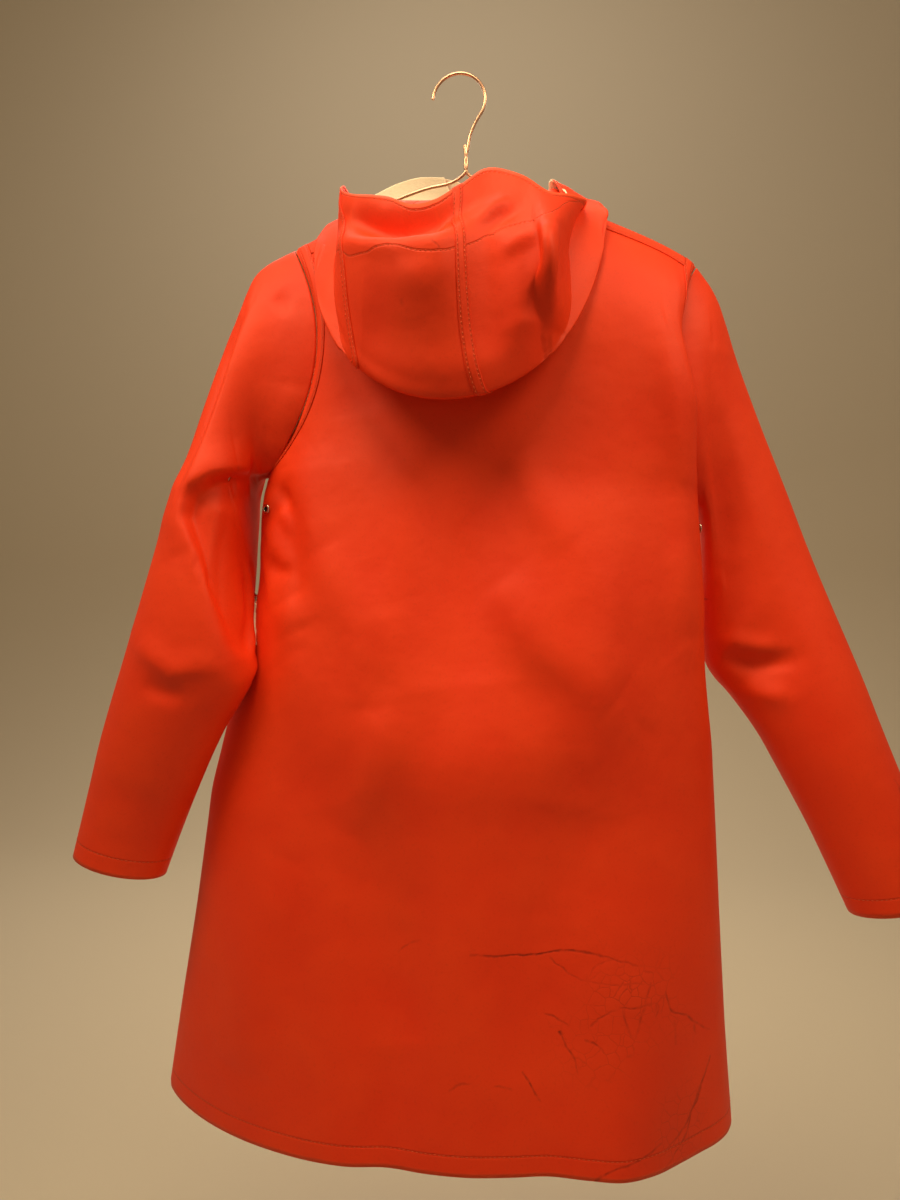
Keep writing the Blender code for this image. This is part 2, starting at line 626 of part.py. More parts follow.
# ---------------------------------------------------------------- hood panels
def make_hood(hood):
    """Three panels: a middle strip and a side on each hand, parted by half a seam's gap."""
    first, second = HOOD_SEAMS
    for name, start, end in (("hood_left", 0, first), ("hood_middle", first, second), ("hood_right", second, None)):
        panel = hood[:, start:None if end is None else end + 1].copy()
        if end is None:
            for column, share in enumerate(HOOD_LAP_LIFTS, -len(HOOD_LAP_LIFTS)):
                panel[:, column, 1] -= LAP_OFFSET * share
        if start:
            panel[:, 0] += pull(hood[:, start], hood[:, start + 1], hood[:, start - 1])
        if end:
            panel[:, -1] += pull(hood[:, end], hood[:, end - 1], hood[:, end + 1])
        cloth_piece(name, panel)


def pull(seam, own, other):
    """The move that draws a panel back from a seam, further where the walls lean towards each other."""
    own, other = along(seam, own), along(seam, other)
    lean = np.linalg.norm(own + other, axis=1, keepdims=True) / 2
    return own * (HOOD_SEAM_GAP + HOOD_SEAM_LEAN * lean)


# ---------------------------------------------------------------- metal
def lay_flat(piece, point, normal):
    """Put a round piece down on the cloth with its axis along the cloth's normal."""
    piece.rotation_euler = Vector(normal).to_track_quat("Z", "Y").to_euler()
    piece.location = point


def make_snaps(line, out):
    """Snap caps down the middle of the outer front."""
    for number, row in enumerate(SNAP_ROWS):
        bpy.ops.mesh.primitive_cylinder_add(vertices=ROUND_SIDES, radius=SNAP_RADIUS, depth=SNAP_HEIGHT)
        cap = bpy.context.object
        take(cap, f"snap_{number + 1}", SILVER, 0.25, 1.0)
        i, f = int(row), row - int(row)
        point = line[i] * (1 - f) + line[i + 1] * f
        normal = out[i] * (1 - f) + out[i + 1] * f
        normal /= np.linalg.norm(normal)
        lay_flat(cap, point + normal * (SNAP_HEIGHT / 2 + SEAM_GAP), normal)


def make_eyelets(back):
    """A vent eyelet on the back below each underarm."""
    out = normals(back)
    for side, edge, step in (("right", 0, 1), ("left", BODY_LAST, -1)):
        bpy.ops.mesh.primitive_torus_add(
            major_segments=ROUND_SIDES, minor_segments=WIRE_SIDES,
            major_radius=EYELET_RADIUS, minor_radius=EYELET_WIRE,
        )
        ring = bpy.context.object
        take(ring, f"eyelet_{side}", SILVER, 0.3, 1.0)
        column = columns_in(back, EYELET_ROW, edge, step, EYELET_INSET)
        normal = between(out, EYELET_ROW, column)
        point = between(back, EYELET_ROW, column)
        lay_flat(ring, point + normal * (EYELET_WIRE + 2 * SEAM_GAP), normal / np.linalg.norm(normal))


def hanger_route():
    """The one wire of the hanger: hook, stem, right arm, bar, left arm, and up beside the stem."""
    centre_z = WIRE_RADIUS - HOOK_RADIUS
    hook = [
        (HOOK_RADIUS * math.cos(turn), centre_z + HOOK_RADIUS * math.sin(turn))
        for turn in np.radians(np.arange(*HOOK_TURNS))
    ]
    half_stem = WIRE_RADIUS + SEAM_GAP / 2
    stem = [(half_stem + reach * MM, z * MM) for reach, z in STEM]
    below = CLOTH + WIRE_RADIUS + WIRE_GAP
    arm = [(reach * MM, z * MM) for reach, z in ARM_START]
    arm += [(reach * MM, ridge_z(MIDDLE_X + reach * MM) - below) for reach in ARM_REACHES]
    arm += [(reach * MM, z * MM) for reach, z in ARM_END]
    right = [(MIDDLE_X - reach, z) for reach, z in stem + arm]
    left = [(MIDDLE_X + reach, z) for reach, z in reversed(arm)]
    # the wire's end turns up beside the stem and leans along with it
    end = [(MIDDLE_X + half_stem, stem[2][1]), (MIDDLE_X + half_stem - STEM_LEAN, stem[1][1])]
    return hook + right + left + end


def make_hanger():
    """The hanger is a wire: a curve with a round section and closed ends."""
    curve = bpy.data.curves.new("hanger", "CURVE")
    curve.dimensions = "3D"
    curve.bevel_depth = WIRE_RADIUS
    curve.bevel_resolution = 2
    curve.use_fill_caps = True
    spline = curve.splines.new("POLY")
    route = hanger_route()
    spline.points.add(len(route) - 1)
    for point, (x, z) in zip(spline.points, route):
        point.co = (x, 0, z, 1)
    curve.materials.append(material("hanger", COPPER, 0.25, 1.0))
    parts.objects.link(bpy.data.objects.new("hanger", curve))


# ---------------------------------------------------------------- the coat
for leftover in list(bpy.data.objects):
    bpy.data.objects.remove(leftover)
parts = bpy.data.collections.new("raincoat")
bpy.context.scene.collection.children.link(parts)

back_grid, front_grid = body_surface(1), body_surface(-1)
hood_grid = hood_surface(back_grid, front_grid)
body = surface_tree([(back_grid, False), (front_grid, True)])
stand_off(hood_grid[:1], body, 2 * SEAM_GAP)
lay_on_ridges(hood_grid)
stand_off(hood_grid[1:], body, HOOD_STAND_OFF)
cloth_piece("back", back_grid)
middle_line, middle_out = make_fronts(front_grid)
for side in ("left", "right"):
    sleeve = sleeve_surface(side)
    stand_off(sleeve[1:], body, SLEEVE_STAND_OFF)
    cloth_piece(f"sleeve_{side}", sleeve, around=True, turned=side == "left")
make_hood(hood_grid)
make_shoulder_tapes(back_grid, body)
make_armhole_tapes(back_grid, front_grid, body)
make_hood_tapes(hood_grid)
make_snaps(middle_line, middle_out)
make_eyelets(back_grid)
make_hanger()
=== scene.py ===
"""Looks of a hooded raincoat of coated cotton on a copper wire hanger, seen from behind as it hangs.

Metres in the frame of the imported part: +Z up, the wearer's back faces +Y, the wearer's left is +X.
The tables of the cloth are in millimetres.
"""
import math

import bpy
import numpy as np
from mathutils import Matrix, Vector
from mathutils.bvhtree import BVHTree


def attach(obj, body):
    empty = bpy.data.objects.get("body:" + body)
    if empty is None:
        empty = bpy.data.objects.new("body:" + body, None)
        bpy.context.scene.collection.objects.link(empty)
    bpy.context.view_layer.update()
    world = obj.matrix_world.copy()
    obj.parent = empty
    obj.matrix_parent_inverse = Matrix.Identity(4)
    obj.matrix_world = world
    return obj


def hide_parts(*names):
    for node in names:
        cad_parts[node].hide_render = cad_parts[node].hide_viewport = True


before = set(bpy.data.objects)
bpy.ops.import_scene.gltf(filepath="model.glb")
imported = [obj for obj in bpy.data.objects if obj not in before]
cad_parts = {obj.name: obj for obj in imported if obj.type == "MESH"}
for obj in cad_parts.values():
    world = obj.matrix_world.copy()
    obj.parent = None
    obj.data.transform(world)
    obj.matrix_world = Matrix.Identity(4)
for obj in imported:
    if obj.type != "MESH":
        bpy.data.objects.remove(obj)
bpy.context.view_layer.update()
bpy.ops.object.select_all(action="DESELECT")

# ---------------------------------------------------------------- camera, light, floor
# A telephone's camera held 0.9 m behind the coat, a little below the shoulders and nearly level.
# The room is a plain pale one with three soft lamps overhead, so the skirt falls into shade.
CAMERA_PLACE = (-0.0861, 0.9050, -0.4906)
CAMERA_TURN, CAMERA_DIP = math.radians(6), math.radians(1.9)
CAMERA_LENS = 27  # mm, on a sensor 36 mm high


def linear(colour):
    """An sRGB hex colour as linear red, green, blue and alpha."""
    parts = [int(colour[k:k + 2], 16) / 255 for k in (1, 3, 5)]
    return (*(c / 12.92 if c <= 0.04045 else ((c + 0.055) / 1.055) ** 2.4 for c in parts), 1)


def add(tree, kind, links=None, **settings):
    """A node of a kind with its settings; links holds its inputs, as plain values or other nodes' outputs."""
    node = tree.nodes.new("ShaderNode" + kind)
    for name, value in settings.items():
        setattr(node, name, value)
    for name, value in (links or {}).items():
        if isinstance(value, bpy.types.NodeSocket):
            tree.links.new(value, node.inputs[name])
        else:
            node.inputs[name].default_value = value
    return node


def new_material(name):
    """A new material and its empty tree."""
    made = bpy.data.materials.new(name)
    made.use_nodes = True
    made.node_tree.nodes.clear()
    return made, made.node_tree


def shaded(made, looks):
    """The material, with a shader that has these inputs."""
    shader = add(made.node_tree, "BsdfPrincipled", looks)
    add(made.node_tree, "OutputMaterial", {"Surface": shader.outputs["BSDF"]})
    return made


def noise(tree, place, scale, detail=2.0, rough=0.5, output="Fac"):
    """Clouds of noise, about as many to a metre as the scale says."""
    links = {"Vector": place, "Scale": scale, "Detail": detail, "Roughness": rough}
    return add(tree, "TexNoise", links).outputs[output]


def tones(tree, value, dark, light, ends=(0.0, 1.0)):
    """A colour between two hex colours, as the value goes from one end to the other."""
    ramp = add(tree, "ValToRGB", {"Fac": value})
    for stop, place, colour in zip(ramp.color_ramp.elements, ends, (dark, light)):
        stop.position, stop.color = place, linear(colour)
    return ramp.outputs["Color"]


def mixed(tree, share, colour, other):
    """A colour blended with a hex colour by a share."""
    links = {"Factor": share, 6: colour, 7: linear(other)}
    return add(tree, "Mix", links, data_type="RGBA").outputs[2]


def maths(tree, operation, *values):
    """The result of one operation on numbers or other nodes' outputs."""
    return add(tree, "Math", dict(enumerate(values)), operation=operation).outputs["Value"]


def ranged(tree, value, ends, results, smooth=False):
    """A value brought from one range to another and held at its ends."""
    links = dict(zip(("Value", "From Min", "From Max", "To Min", "To Max"), (value, *ends, *results)))
    kind = "SMOOTHSTEP" if smooth else "LINEAR"
    return add(tree, "MapRange", links, interpolation_type=kind).outputs["Result"]


def raised(tree, height, strength, distance, normal=None, inwards=False):
    """A normal with a relief: how strongly it shows, and how deep it is in metres."""
    links = {"Height": height, "Strength": strength, "Distance": distance}
    if normal is not None:
        links["Normal"] = normal
    return add(tree, "Bump", links, invert=inwards).outputs["Normal"]


def two_toned(name, dark, light, scale, rough):
    """A plain material with two tones; scale is about how many of its spots go to a metre."""
    made, tree = new_material(name)
    spots = noise(tree, add(tree, "TexCoord").outputs["Object"], scale)
    return shaded(made, {"Base Color": tones(tree, spots, dark, light), "Roughness": rough})


def placed(name, data):
    """A new object in the scene."""
    made = bpy.data.objects.new(name, data)
    bpy.context.scene.collection.objects.link(made)
    return made


camera = placed("camera", bpy.data.cameras.new("camera"))
camera.data.lens = CAMERA_LENS
camera.location = CAMERA_PLACE
ahead = Vector((
    math.sin(CAMERA_TURN) * math.cos(CAMERA_DIP),
    -math.cos(CAMERA_TURN) * math.cos(CAMERA_DIP),
    -math.sin(CAMERA_DIP),
))
camera.rotation_euler = ahead.to_track_quat("-Z", "Y").to_euler()
bpy.context.scene.camera = camera
bpy.context.scene.view_settings.view_transform = "Standard"

LIGHT_COLUMNS = ("name", "place", "aim", "size", "watts", "colour", "spread")
LIGHTS = (
    ("ceiling", (0.10, 0.66, 0.90), (0.0, 0.05, -0.20), 0.7, 3.2, "#ffe7b4", 90),
    ("ceiling_left", (0.90, 0.72, 0.66), (0.05, 0.05, -0.30), 0.6, 4.3, "#ffe7b4", 110),
    ("ceiling_right", (-1.00, 0.68, 0.66), (-0.10, 0.05, -0.30), 0.6, 3.9, "#ffe7b4", 110),
    ("room_front", (0.3, -2.2, 0.9), (0.0, 0.0, -0.5), 1.8, 26, "#fff1df", 180),
    ("wall_wash", (0.4, -1.0, 1.9), (0.0, -3.0, -0.6), 1.6, 26, "#fff1df", 180),
)
for row in LIGHTS:
    light = dict(zip(LIGHT_COLUMNS, row))
    lamp = bpy.data.lights.new(light["name"], "AREA")
    lamp.shape, lamp.size = "DISK", light["size"]
    lamp.energy, lamp.color = light["watts"], linear(light["colour"])[:3]
    lamp.spread = math.radians(light["spread"])
    holder = placed(light["name"], lamp)
    holder.location = light["place"]
    holder.rotation_euler = (Vector(light["aim"]) - holder.location).to_track_quat("-Z", "Y").to_euler()

ROOM_COLOUR, ROOM_STRENGTH = "#8f7c62", 1.0
WALL_COLOUR, WALL_ROUGH = "#c8bda8", 0.85
world = bpy.data.worlds.new("room")
bpy.context.scene.world = world
world.use_nodes = True
room = world.node_tree.nodes["Background"].inputs
room["Color"].default_value, room["Strength"].default_value = linear(ROOM_COLOUR), ROOM_STRENGTH

# the floor runs 3 m back and turns up into the wall in one soft curve, in steps of 6 degrees
FLOOR_Z, WALL_Y, WALL_TOP, BEND, HALF_WIDTH, FLOOR_END = -1.45, -3.0, 3.2, 1.0, 5.0, 5.0
QUARTER_TURN = (0, 91, 6)
profile = [(FLOOR_END, FLOOR_Z)]
for turn in np.radians(np.arange(*QUARTER_TURN)):
    profile.append((WALL_Y + BEND * (1 - math.sin(turn)), FLOOR_Z + BEND * (1 - math.cos(turn))))
profile.append((WALL_Y, WALL_TOP))
corners = [(x, y, z) for y, z in profile for x in (-HALF_WIDTH, HALF_WIDTH)]
strips = [(2 * k, 2 * k + 2, 2 * k + 3, 2 * k + 1) for k in range(len(profile) - 1)]
mesh = bpy.data.meshes.new("floor")
mesh.from_pydata(corners, [], strips)
mesh.shade_smooth()
floor = placed("floor", mesh)
paint, _ = new_material("matt_wall_paint")
mesh.materials.append(shaded(paint, {"Base Color": linear(WALL_COLOUR), "Roughness": WALL_ROUGH}))

# ---------------------------------------------------------------- the body
# One back and two fronts, cut from cotton with a coloured rubber coat on its outer face, sewn on the
# shoulders and down the sides. They hang from the wire in broad soft folds and keep old creases.
MM = 0.001
TINY = 1e-9
CLOTH = 1.2 * MM
SEAM_GAP = 0.3 * MM
MIDDLE_X = -7 * MM
RIDGE_COLUMNS = ("reach", "z")
RIDGE = ((80, -119), (133, -147), (150, -155), (183, -171), (200, -180), (214, -188), (226, -198))
NECK_HALF = 80 * MM
NECK_BACK = (54 * MM, -27 * MM)
NECK_FRONT = (60 * MM, -46 * MM)
SHOULDER_RISE = {1: 52 * MM, -1: 20 * MM}
SIDE_COLUMNS = ("share", "left", "right", "back", "front", "left_power", "right_power")
SIDE_TABLE = (
    (0.00, 194, -208, 92, 66, 1.10, 1.00),
    (0.06, 203, -215, 94, 70, 1.10, 1.00),
    (0.18, 206, -228, 96, 76, 1.10, 1.00),
    (0.30, 222, -239, 97, 80, 1.10, 0.95),
    (0.40, 242, -248, 98, 84, 1.15, 0.90),
    (0.50, 258, -253, 100, 88, 1.15, 0.85),
    (0.70, 277, -259, 106, 94, 1.30, 0.82),
    (0.85, 293, -264, 112, 99, 1.45, 0.80),
    (1.00, 308, -271, 118, 104, 1.55, 0.80),
)
HEM_Z = {"left": -1032 * MM, "right": -1024 * MM}
ARMHOLE_FADE = 150 * MM
DEPTH_FADE = 260 * MM
HEM_DROP = 9 * MM
YOKE_SHALLOWER = 0.2
ROUND_POWER = 1.35
RISE_POWER = 1.6
CROWN_POWER = 1.5
DIP_POWER = 1.3
EDGE_POWER = 4
RISE_REACH = 420 * MM
FOLD_RISE = 3
WRAP_COLUMNS = ("z", "degrees")
WRAP = (
    (-198, 0), (-240, 17), (-276, 23), (-330, 35), (-376, 31),
    (-423, 23), (-520, 17), (-574, 11), (-628, 7), (-720, 0),
)
FOLD_COLUMNS = ("x", "half_width", "out", "top", "bottom")
BACK_FOLDS = (
    (52, 60, -9, -620, -1300),
    (-165, 80, 19, -700, -1400),
    (-20, 75, -14, -330, -640),
    (150, 55, 8, -300, -700),
    (-130, 60, 9, -360, -760),
)
FRONT_FOLDS = (
    (-90, 60, 8, -420, -1400),
    (110, 65, 9, -380, -1400),
    (30, 50, -7, -600, -1500),
)
SLEEVE_COLUMNS = ("outer_x", "outer_z", "inner_x", "inner_z", "mid_y", "back", "front", "bow")
SLEEVE_TABLES = {
    "left": (
        (166, -167, 194, -396, 0, 45, 45, 46),
        (190, -178, 204, -398, 0, 49, 47, 30),
        (205, -192, 208, -406, 2, 51, 48, 12),
        (217, -224, 210, -438, 8, 49, 45, 0),
        (230, -258, 209, -478, 16, 46, 45, 0),
        (249, -322, 205, -521, 32, 43, 45, 0),
        (273, -410, 198, -559, 48, 43, 44, 0),
        (291, -470, 194, -588, 56, 43, 43, 0),
        (309, -530, 205, -614, 58, 42, 41, 0),
        (330, -591, 227, -648, 54, 41, 40, 0),
        (352, -652, 250, -693, 48, 39, 38, 0),
        (374, -720, 277, -750, 38, 38, 38, 0),
        (391, -779, 297, -800, 35, 36, 36, 0),
    ),
    "right": (
        (-231, -198, -208, -420, 0, 45, 45, 28),
        (-244, -212, -224, -424, -6, 45, 46, 14),
        (-256, -232, -238, -438, -14, 44, 47, 4),
        (-276, -284, -243, -482, -26, 42, 47, 0),
        (-301, -346, -243, -527, -34, 42, 46, 0),
        (-326, -408, -246, -566, -36, 43, 45, 0),
        (-349, -471, -253, -592, -33, 43, 44, 0),
        (-373, -533, -270, -613, -27, 42, 43, 0),
        (-397, -593, -297, -650, -22, 41, 42, 0),
        (-421, -656, -323, -697, -20, 40, 40, 0),
        (-448, -722, -352, -752, -20, 38, 38, 0),
        (-480, -810, -389, -831, -20, 36, 36, 0),
    ),
}
ARM_ROWS, EVEN_ROW, SIDE_ROWS = 10, 8, 18
NECK_COLUMNS, SHOULDER_COLUMNS = 8, 8
BODY_FINE = 8
MIDDLE = (SHOULDER_COLUMNS + NECK_COLUMNS // 2) * BODY_FINE
FRONT_LAP = 22 * MM
LAP_OFFSET = 3 * MM
# the lap's columns as shares of its width, and how far the outer front is lifted over it, by column
LAP_SHARES = (0.25, 0.5, 0.75, 1)
FRONT_LIFT = ((9, 10, 11), (0, 0.3, 1))
HEM_STITCH = 18 * MM
LAP_STITCH = 5 * MM
# a crease fades where the cloth turns sideways, and towards its ends
FACING = 0.35
CREASE_ENDS = (0.02, 0.98)

# old creases: a line in x and z, how far it reaches to the right and the left along it, and its push out
BACK_CREASES = (
    (((180, -410), (169, -419), (163, -433)), 5, 7, -4.0),
    (((178, -428), (167, -440), (160, -456)), 6, 8, 3.0),
    (((182, -482), (171, -490), (157, -492)), 8, 6, -3.5),
    (((158, -518), (150, -532), (144, -546)), 22, 22, 4.0),
    (((10, -330), (-8, -470), (-20, -600)), 58, 52, -9.0),
    (((150, -560), (90, -640), (10, -668), (-80, -655), (-160, -600)), 58, 46, 8.0),
    (((128, -470), (84, -545), (72, -620)), 26, 34, 6.0),
    (((60, -520), (40, -600), (92, -740)), 20, 26, 5.0),
    (((-40, -500), (-85, -560), (-150, -610)), 24, 34, 7.0),
    (((168, -392), (172, -420), (150, -480), (142, -560)), 13, 20, -6.0),
    (((190, -405), (188, -440), (178, -480)), 8, 12, 4.0),
    (((172, -418), (184, -436), (192, -452)), 6, 8, -4.0),
    (((196, -468), (184, -500), (176, -530)), 6, 10, 3.0),
    (((-196, -275), (-214, -400), (-222, -560)), 14, 24, 6.0),
    (((-60, -380), (-80, -430), (-110, -470)), 16, 20, 3.5),
    (((100, -700), (60, -800), (40, -930)), 44, 40, -5.0),
    (((-110, -700), (-90, -820), (-60, -960)), 46, 38, -5.0),
    (((160, -760), (190, -860), (200, -980)), 34, 30, 5.0),
)
FRONT_CREASES = (
    (((130, -300), (60, -360), (10, -380)), 18, 24, 4.0),
    (((-150, -310), (-80, -370), (-30, -380)), 18, 24, 4.0),
    (((150, -520), (110, -640), (120, -780)), 24, 28, -5.0),
    (((-160, -540), (-120, -650), (-140, -800)), 24, 28, 5.0),
)


def smooth(table, at):
    """The table's rows as one smooth curve, read at a place from 0 to 1 along them."""
    rows = np.asarray(table, float)
    place = min(max(at, 0.0), 1.0) * (len(rows) - 1)
    i = min(int(place), len(rows) - 2)
    f = place - i
    before, a, b, after = (rows[min(max(k, 0), len(rows) - 1)] for k in (i - 1, i, i + 1, i + 2))
    slope, bend = b - before, 2 * before - 5 * a + 4 * b - after
    return a + 0.5 * f * (slope + f * (bend + f * (3 * (a - b) + after - before)))


def read(table, columns, at):
    """One row of a table, by name, at a value of its first column."""
    rows = sorted(table)
    first = [row[0] for row in rows]
    return {name: float(np.interp(at, first, [row[k] for row in rows])) for k, name in enumerate(columns)}


def bump(distance, half_width):
    """A soft rise from 0 at the half width to 1 in the middle."""
    return 0.5 + 0.5 * np.cos(np.pi * np.minimum(np.abs(distance) / half_width, 1))


def ridge_z(x):
    """Height of the shoulder line, which lies on the hanger's arm."""
    return read(RIDGE, RIDGE_COLUMNS, abs(x - MIDDLE_X) / MM)["z"] * MM


def section_point(section, angle):
    """A point of a sleeve section, from its outer edge at 0 round the back to the inner edge."""
    row = dict(zip(SLEEVE_COLUMNS, section))
    outer = np.array([row["outer_x"], row["outer_z"]])
    inner = np.array([row["inner_x"], row["inner_z"]])
    middle, reach = (outer + inner) / 2, (outer - inner) / 2
    inward = np.array([-reach[1], reach[0]]) / np.hypot(*reach)
    inward *= -math.copysign(1, middle[0] * inward[0])
    depth = row["back"] if math.sin(angle) > 0 else row["front"]
    x, z = middle + reach * math.cos(angle) + inward * row["bow"] * math.sin(angle) ** 2
    return np.array([x, row["mid_y"] + depth * math.sin(angle), z]) * MM


def seam_point(side, face, row):
    """The edge of a body panel at a row: its armhole, then its side seam down to the hem."""
    armhole = SLEEVE_TABLES[side][0]
    if row <= ARM_ROWS:
        return section_point(armhole, face * math.pi * row / ARM_ROWS)
    share = (row - ARM_ROWS) / SIDE_ROWS
    under = section_point(armhole, math.pi)
    x = read(SIDE_TABLE, SIDE_COLUMNS, share)[side] * MM
    return np.array([x, under[1], under[2] + share * (HEM_Z[side] - under[2])])


def top_edge(x, face):
    """How far out and how high a panel's top edge is: the shoulder line or the neckline."""
    reach = abs(x - MIDDLE_X) / NECK_HALF
    if reach >= 1:
        return 0.0, ridge_z(x)
    out, drop = NECK_BACK if face > 0 else NECK_FRONT
    bow = math.sqrt(1 - reach * reach)
    return out * bow, ridge_z(x) + drop * bow


def top_angles(middle, half):
    """Angles of the columns along the top edge, with a column at each end of the neckline."""
    right, left = (math.asin((MIDDLE_X + k * NECK_HALF - middle) / half) for k in (-1, 1))
    shoulder_right = np.linspace(-math.pi / 2, right, SHOULDER_COLUMNS + 1)
    neck = np.linspace(right, left, NECK_COLUMNS + 1)
    shoulder_left = np.linspace(left, math.pi / 2, SHOULDER_COLUMNS + 1)
    return np.concatenate([shoulder_right[:-1], neck[:-1], shoulder_left])


def body_surface(face):
    """Outer points of the whole back (face 1) or front (face -1), rows down and columns to the left."""
    left_top, right_top = (seam_point(side, face, 0) for side in ("left", "right"))
    middle, half = (left_top[0] + right_top[0]) / 2, (left_top[0] - right_top[0]) / 2
    left_middle = seam_point("left", face, ARM_ROWS // 2)
    angles_top = top_angles(middle, half)
    angles_even = np.linspace(-math.pi / 2, math.pi / 2, len(angles_top))
    folds = [dict(zip(FOLD_COLUMNS, row)) for row in (BACK_FOLDS if face > 0 else FRONT_FOLDS)]
    armhole_depth = dict(zip(SLEEVE_COLUMNS, SLEEVE_TABLES["left"][0]))["back"] * MM
    points = np.zeros((ARM_ROWS + SIDE_ROWS + 1, len(angles_top), 3))
    for row in range(ARM_ROWS + SIDE_ROWS + 1):
        left, right = (seam_point(side, face, row) for side in ("left", "right"))
        sizes = read(SIDE_TABLE, SIDE_COLUMNS, max(row - ARM_ROWS, 0) / SIDE_ROWS)
        turn = math.pi * min(row, ARM_ROWS) / ARM_ROWS
        steep = math.sin(min(turn, math.pi / 2)) ** ROUND_POWER
        grown = 1 - YOKE_SHALLOWER * bump(max(0.0, left_middle[2] - left[2]), DEPTH_FADE)
        depth = (sizes["back"] if face > 0 else sizes["front"]) * MM * steep * grown
        past = math.radians(read(WRAP, WRAP_COLUMNS, right[2] / MM)["degrees"]) if face > 0 else 0.0
        width = (left[0] - right[0]) / (1 + math.cos(past))
        centre, wrap = left[0] - width, math.pi / 2 + past
        spread = min(1.0, row / EVEN_ROW)
        fall = max(0.0, 1 - (left_top[2] - left[2]) / RISE_REACH) ** RISE_POWER
        soft = armhole_depth * bump(max(0.0, left_middle[2] - left[2]), ARMHOLE_FADE)
        for column, (top, even) in enumerate(zip(angles_top, angles_even)):
            angle = top + (even - top) * spread
            reach = angle if angle > 0 else angle * wrap / (math.pi / 2)
            closed = 0.0 if angle > 0 else math.cos(wrap)
            x = centre + width * math.sin(reach)
            share = (math.sin(angle) + 1) / 2
            level = share * left[2] + (1 - share) * right[2]
            top_x = middle + half * math.sin(top)
            out_top, z_top = top_edge(top_x, face)
            rise = z_top - (share * left_top[2] + (1 - share) * right_top[2])
            slow = SHOULDER_RISE[face] * math.cos(angle) ** CROWN_POWER
            level += slow * fall + (rise - slow) * (1 - steep) ** DIP_POWER
            crown = max(0.0, (math.cos(reach) - closed) / (1 - closed))
            crown **= share * sizes["left_power"] + (1 - share) * sizes["right_power"]
            edge = face * (share * left[1] + (1 - share) * right[1])
            side = soft if row > ARM_ROWS // 2 else edge
            out = side * (1 - crown) + depth * crown + (edge - side) * (1 - crown) ** EDGE_POWER
            out += out_top * (1 - steep)
            level -= HEM_DROP * max(0, row - ARM_ROWS) / SIDE_ROWS * math.sqrt(math.cos(angle))
            for fold in folds:
                middle_run, half_run = (fold["top"] + fold["bottom"]) / 2, (fold["top"] - fold["bottom"]) / 2
                strength = bump(x / MM - fold["x"], fold["half_width"])
                strength *= bump(level / MM - middle_run, half_run)
                out += fold["out"] * MM * strength * min(1, FOLD_RISE * crown)
            points[row, column] = (x, face * out, level)
    return points


def along(start, end):
    """Unit steps from one row of points to another."""
    away = end - start
    return away / np.maximum(np.linalg.norm(away, axis=-1, keepdims=True), TINY)


def normals(points, face=1, around=False):
    """Unit normals of a grid, out of the cloth: face 1 where columns run right to left seen from outside."""
    if around:
        points = np.concatenate([points[:, -1:], points, points[:, :1]], axis=1)
    out = np.cross(np.gradient(points, axis=1), np.gradient(points, axis=0)) * face
    out /= np.maximum(np.linalg.norm(out, axis=2, keepdims=True), TINY)
    return out[:, 1:-1] if around else out


def through(points, count, around=False):
    """More points down a grid: count steps between each two rows, on smooth curves that pass through them."""
    if around:
        padded = np.concatenate([points[-1:], points, points[:2]])
    else:
        padded = np.concatenate([2 * points[:1] - points[1:2], points, 2 * points[-1:] - points[-2:-1]])
    gaps = np.maximum(np.linalg.norm(np.diff(padded, axis=0), axis=-1, keepdims=True), 1e-7)
    steps = np.diff(padded, axis=0) / gaps
    slopes = (steps[:-1] * gaps[1:] + steps[1:] * gaps[:-1]) / (gaps[:-1] + gaps[1:])
    start, end, gap = padded[1:-2], padded[2:-1], gaps[1:-1]
    leave, arrive = slopes[:-1] * gap, slopes[1:] * gap
    lines = []
    for f in np.arange(count) / count:
        lines.append((1 + 2 * f) * (1 - f) ** 2 * start + f * (1 - f) ** 2 * leave
                     + f * f * (3 - 2 * f) * end + f * f * (f - 1) * arrive)
    fine = np.stack(lines, axis=1).reshape(-1, *points.shape[1:])
    return fine if around else np.concatenate([fine, points[-1:]])


def refined(grid, down, across, around=False):
    """A grid with more rows and columns."""
    return through(through(grid, down).swapaxes(0, 1), across, around).swapaxes(0, 1)


def creased(points, table, face, out):
    """Push a fine grid's points out or in along creases, on the side that faces back (1) or front (-1).
    A crease reaches as far to the right and to the left, as one walks along its line, as its row says."""
    flat = points[..., (0, 2)]
    towards = np.clip(face * out[..., 1] / FACING, 0, 1)
    moved = points.copy()
    for line, right, left, push in table:
        line = np.array(line) * MM
        lengths = np.linalg.norm(np.diff(line, axis=0), axis=1)
        nearest = np.full(flat.shape[:2], np.inf)
        place, hand = np.zeros_like(nearest), np.zeros_like(nearest)
        for k, (start, end) in enumerate(zip(line[:-1], line[1:])):
            step = (end - start) / lengths[k]
            run = np.clip((flat - start) @ step, 0, lengths[k])
            away = flat - start - run[..., None] * step
            distance = np.linalg.norm(away, axis=-1)
            closer = distance < nearest
            nearest = np.where(closer, distance, nearest)
            hand = np.where(closer, step[0] * away[..., 1] - step[1] * away[..., 0], hand)
            place = np.where(closer, lengths[:k].sum() + run, place)
        reach = np.where(face * hand > 0, right, left) * MM
        taper = np.sqrt(np.sin(np.pi * np.clip(place / lengths.sum(), *CREASE_ENDS)))
        moved += out * (push * MM * np.exp(-(nearest / reach) ** 2) * taper * towards)[..., None]
    return moved


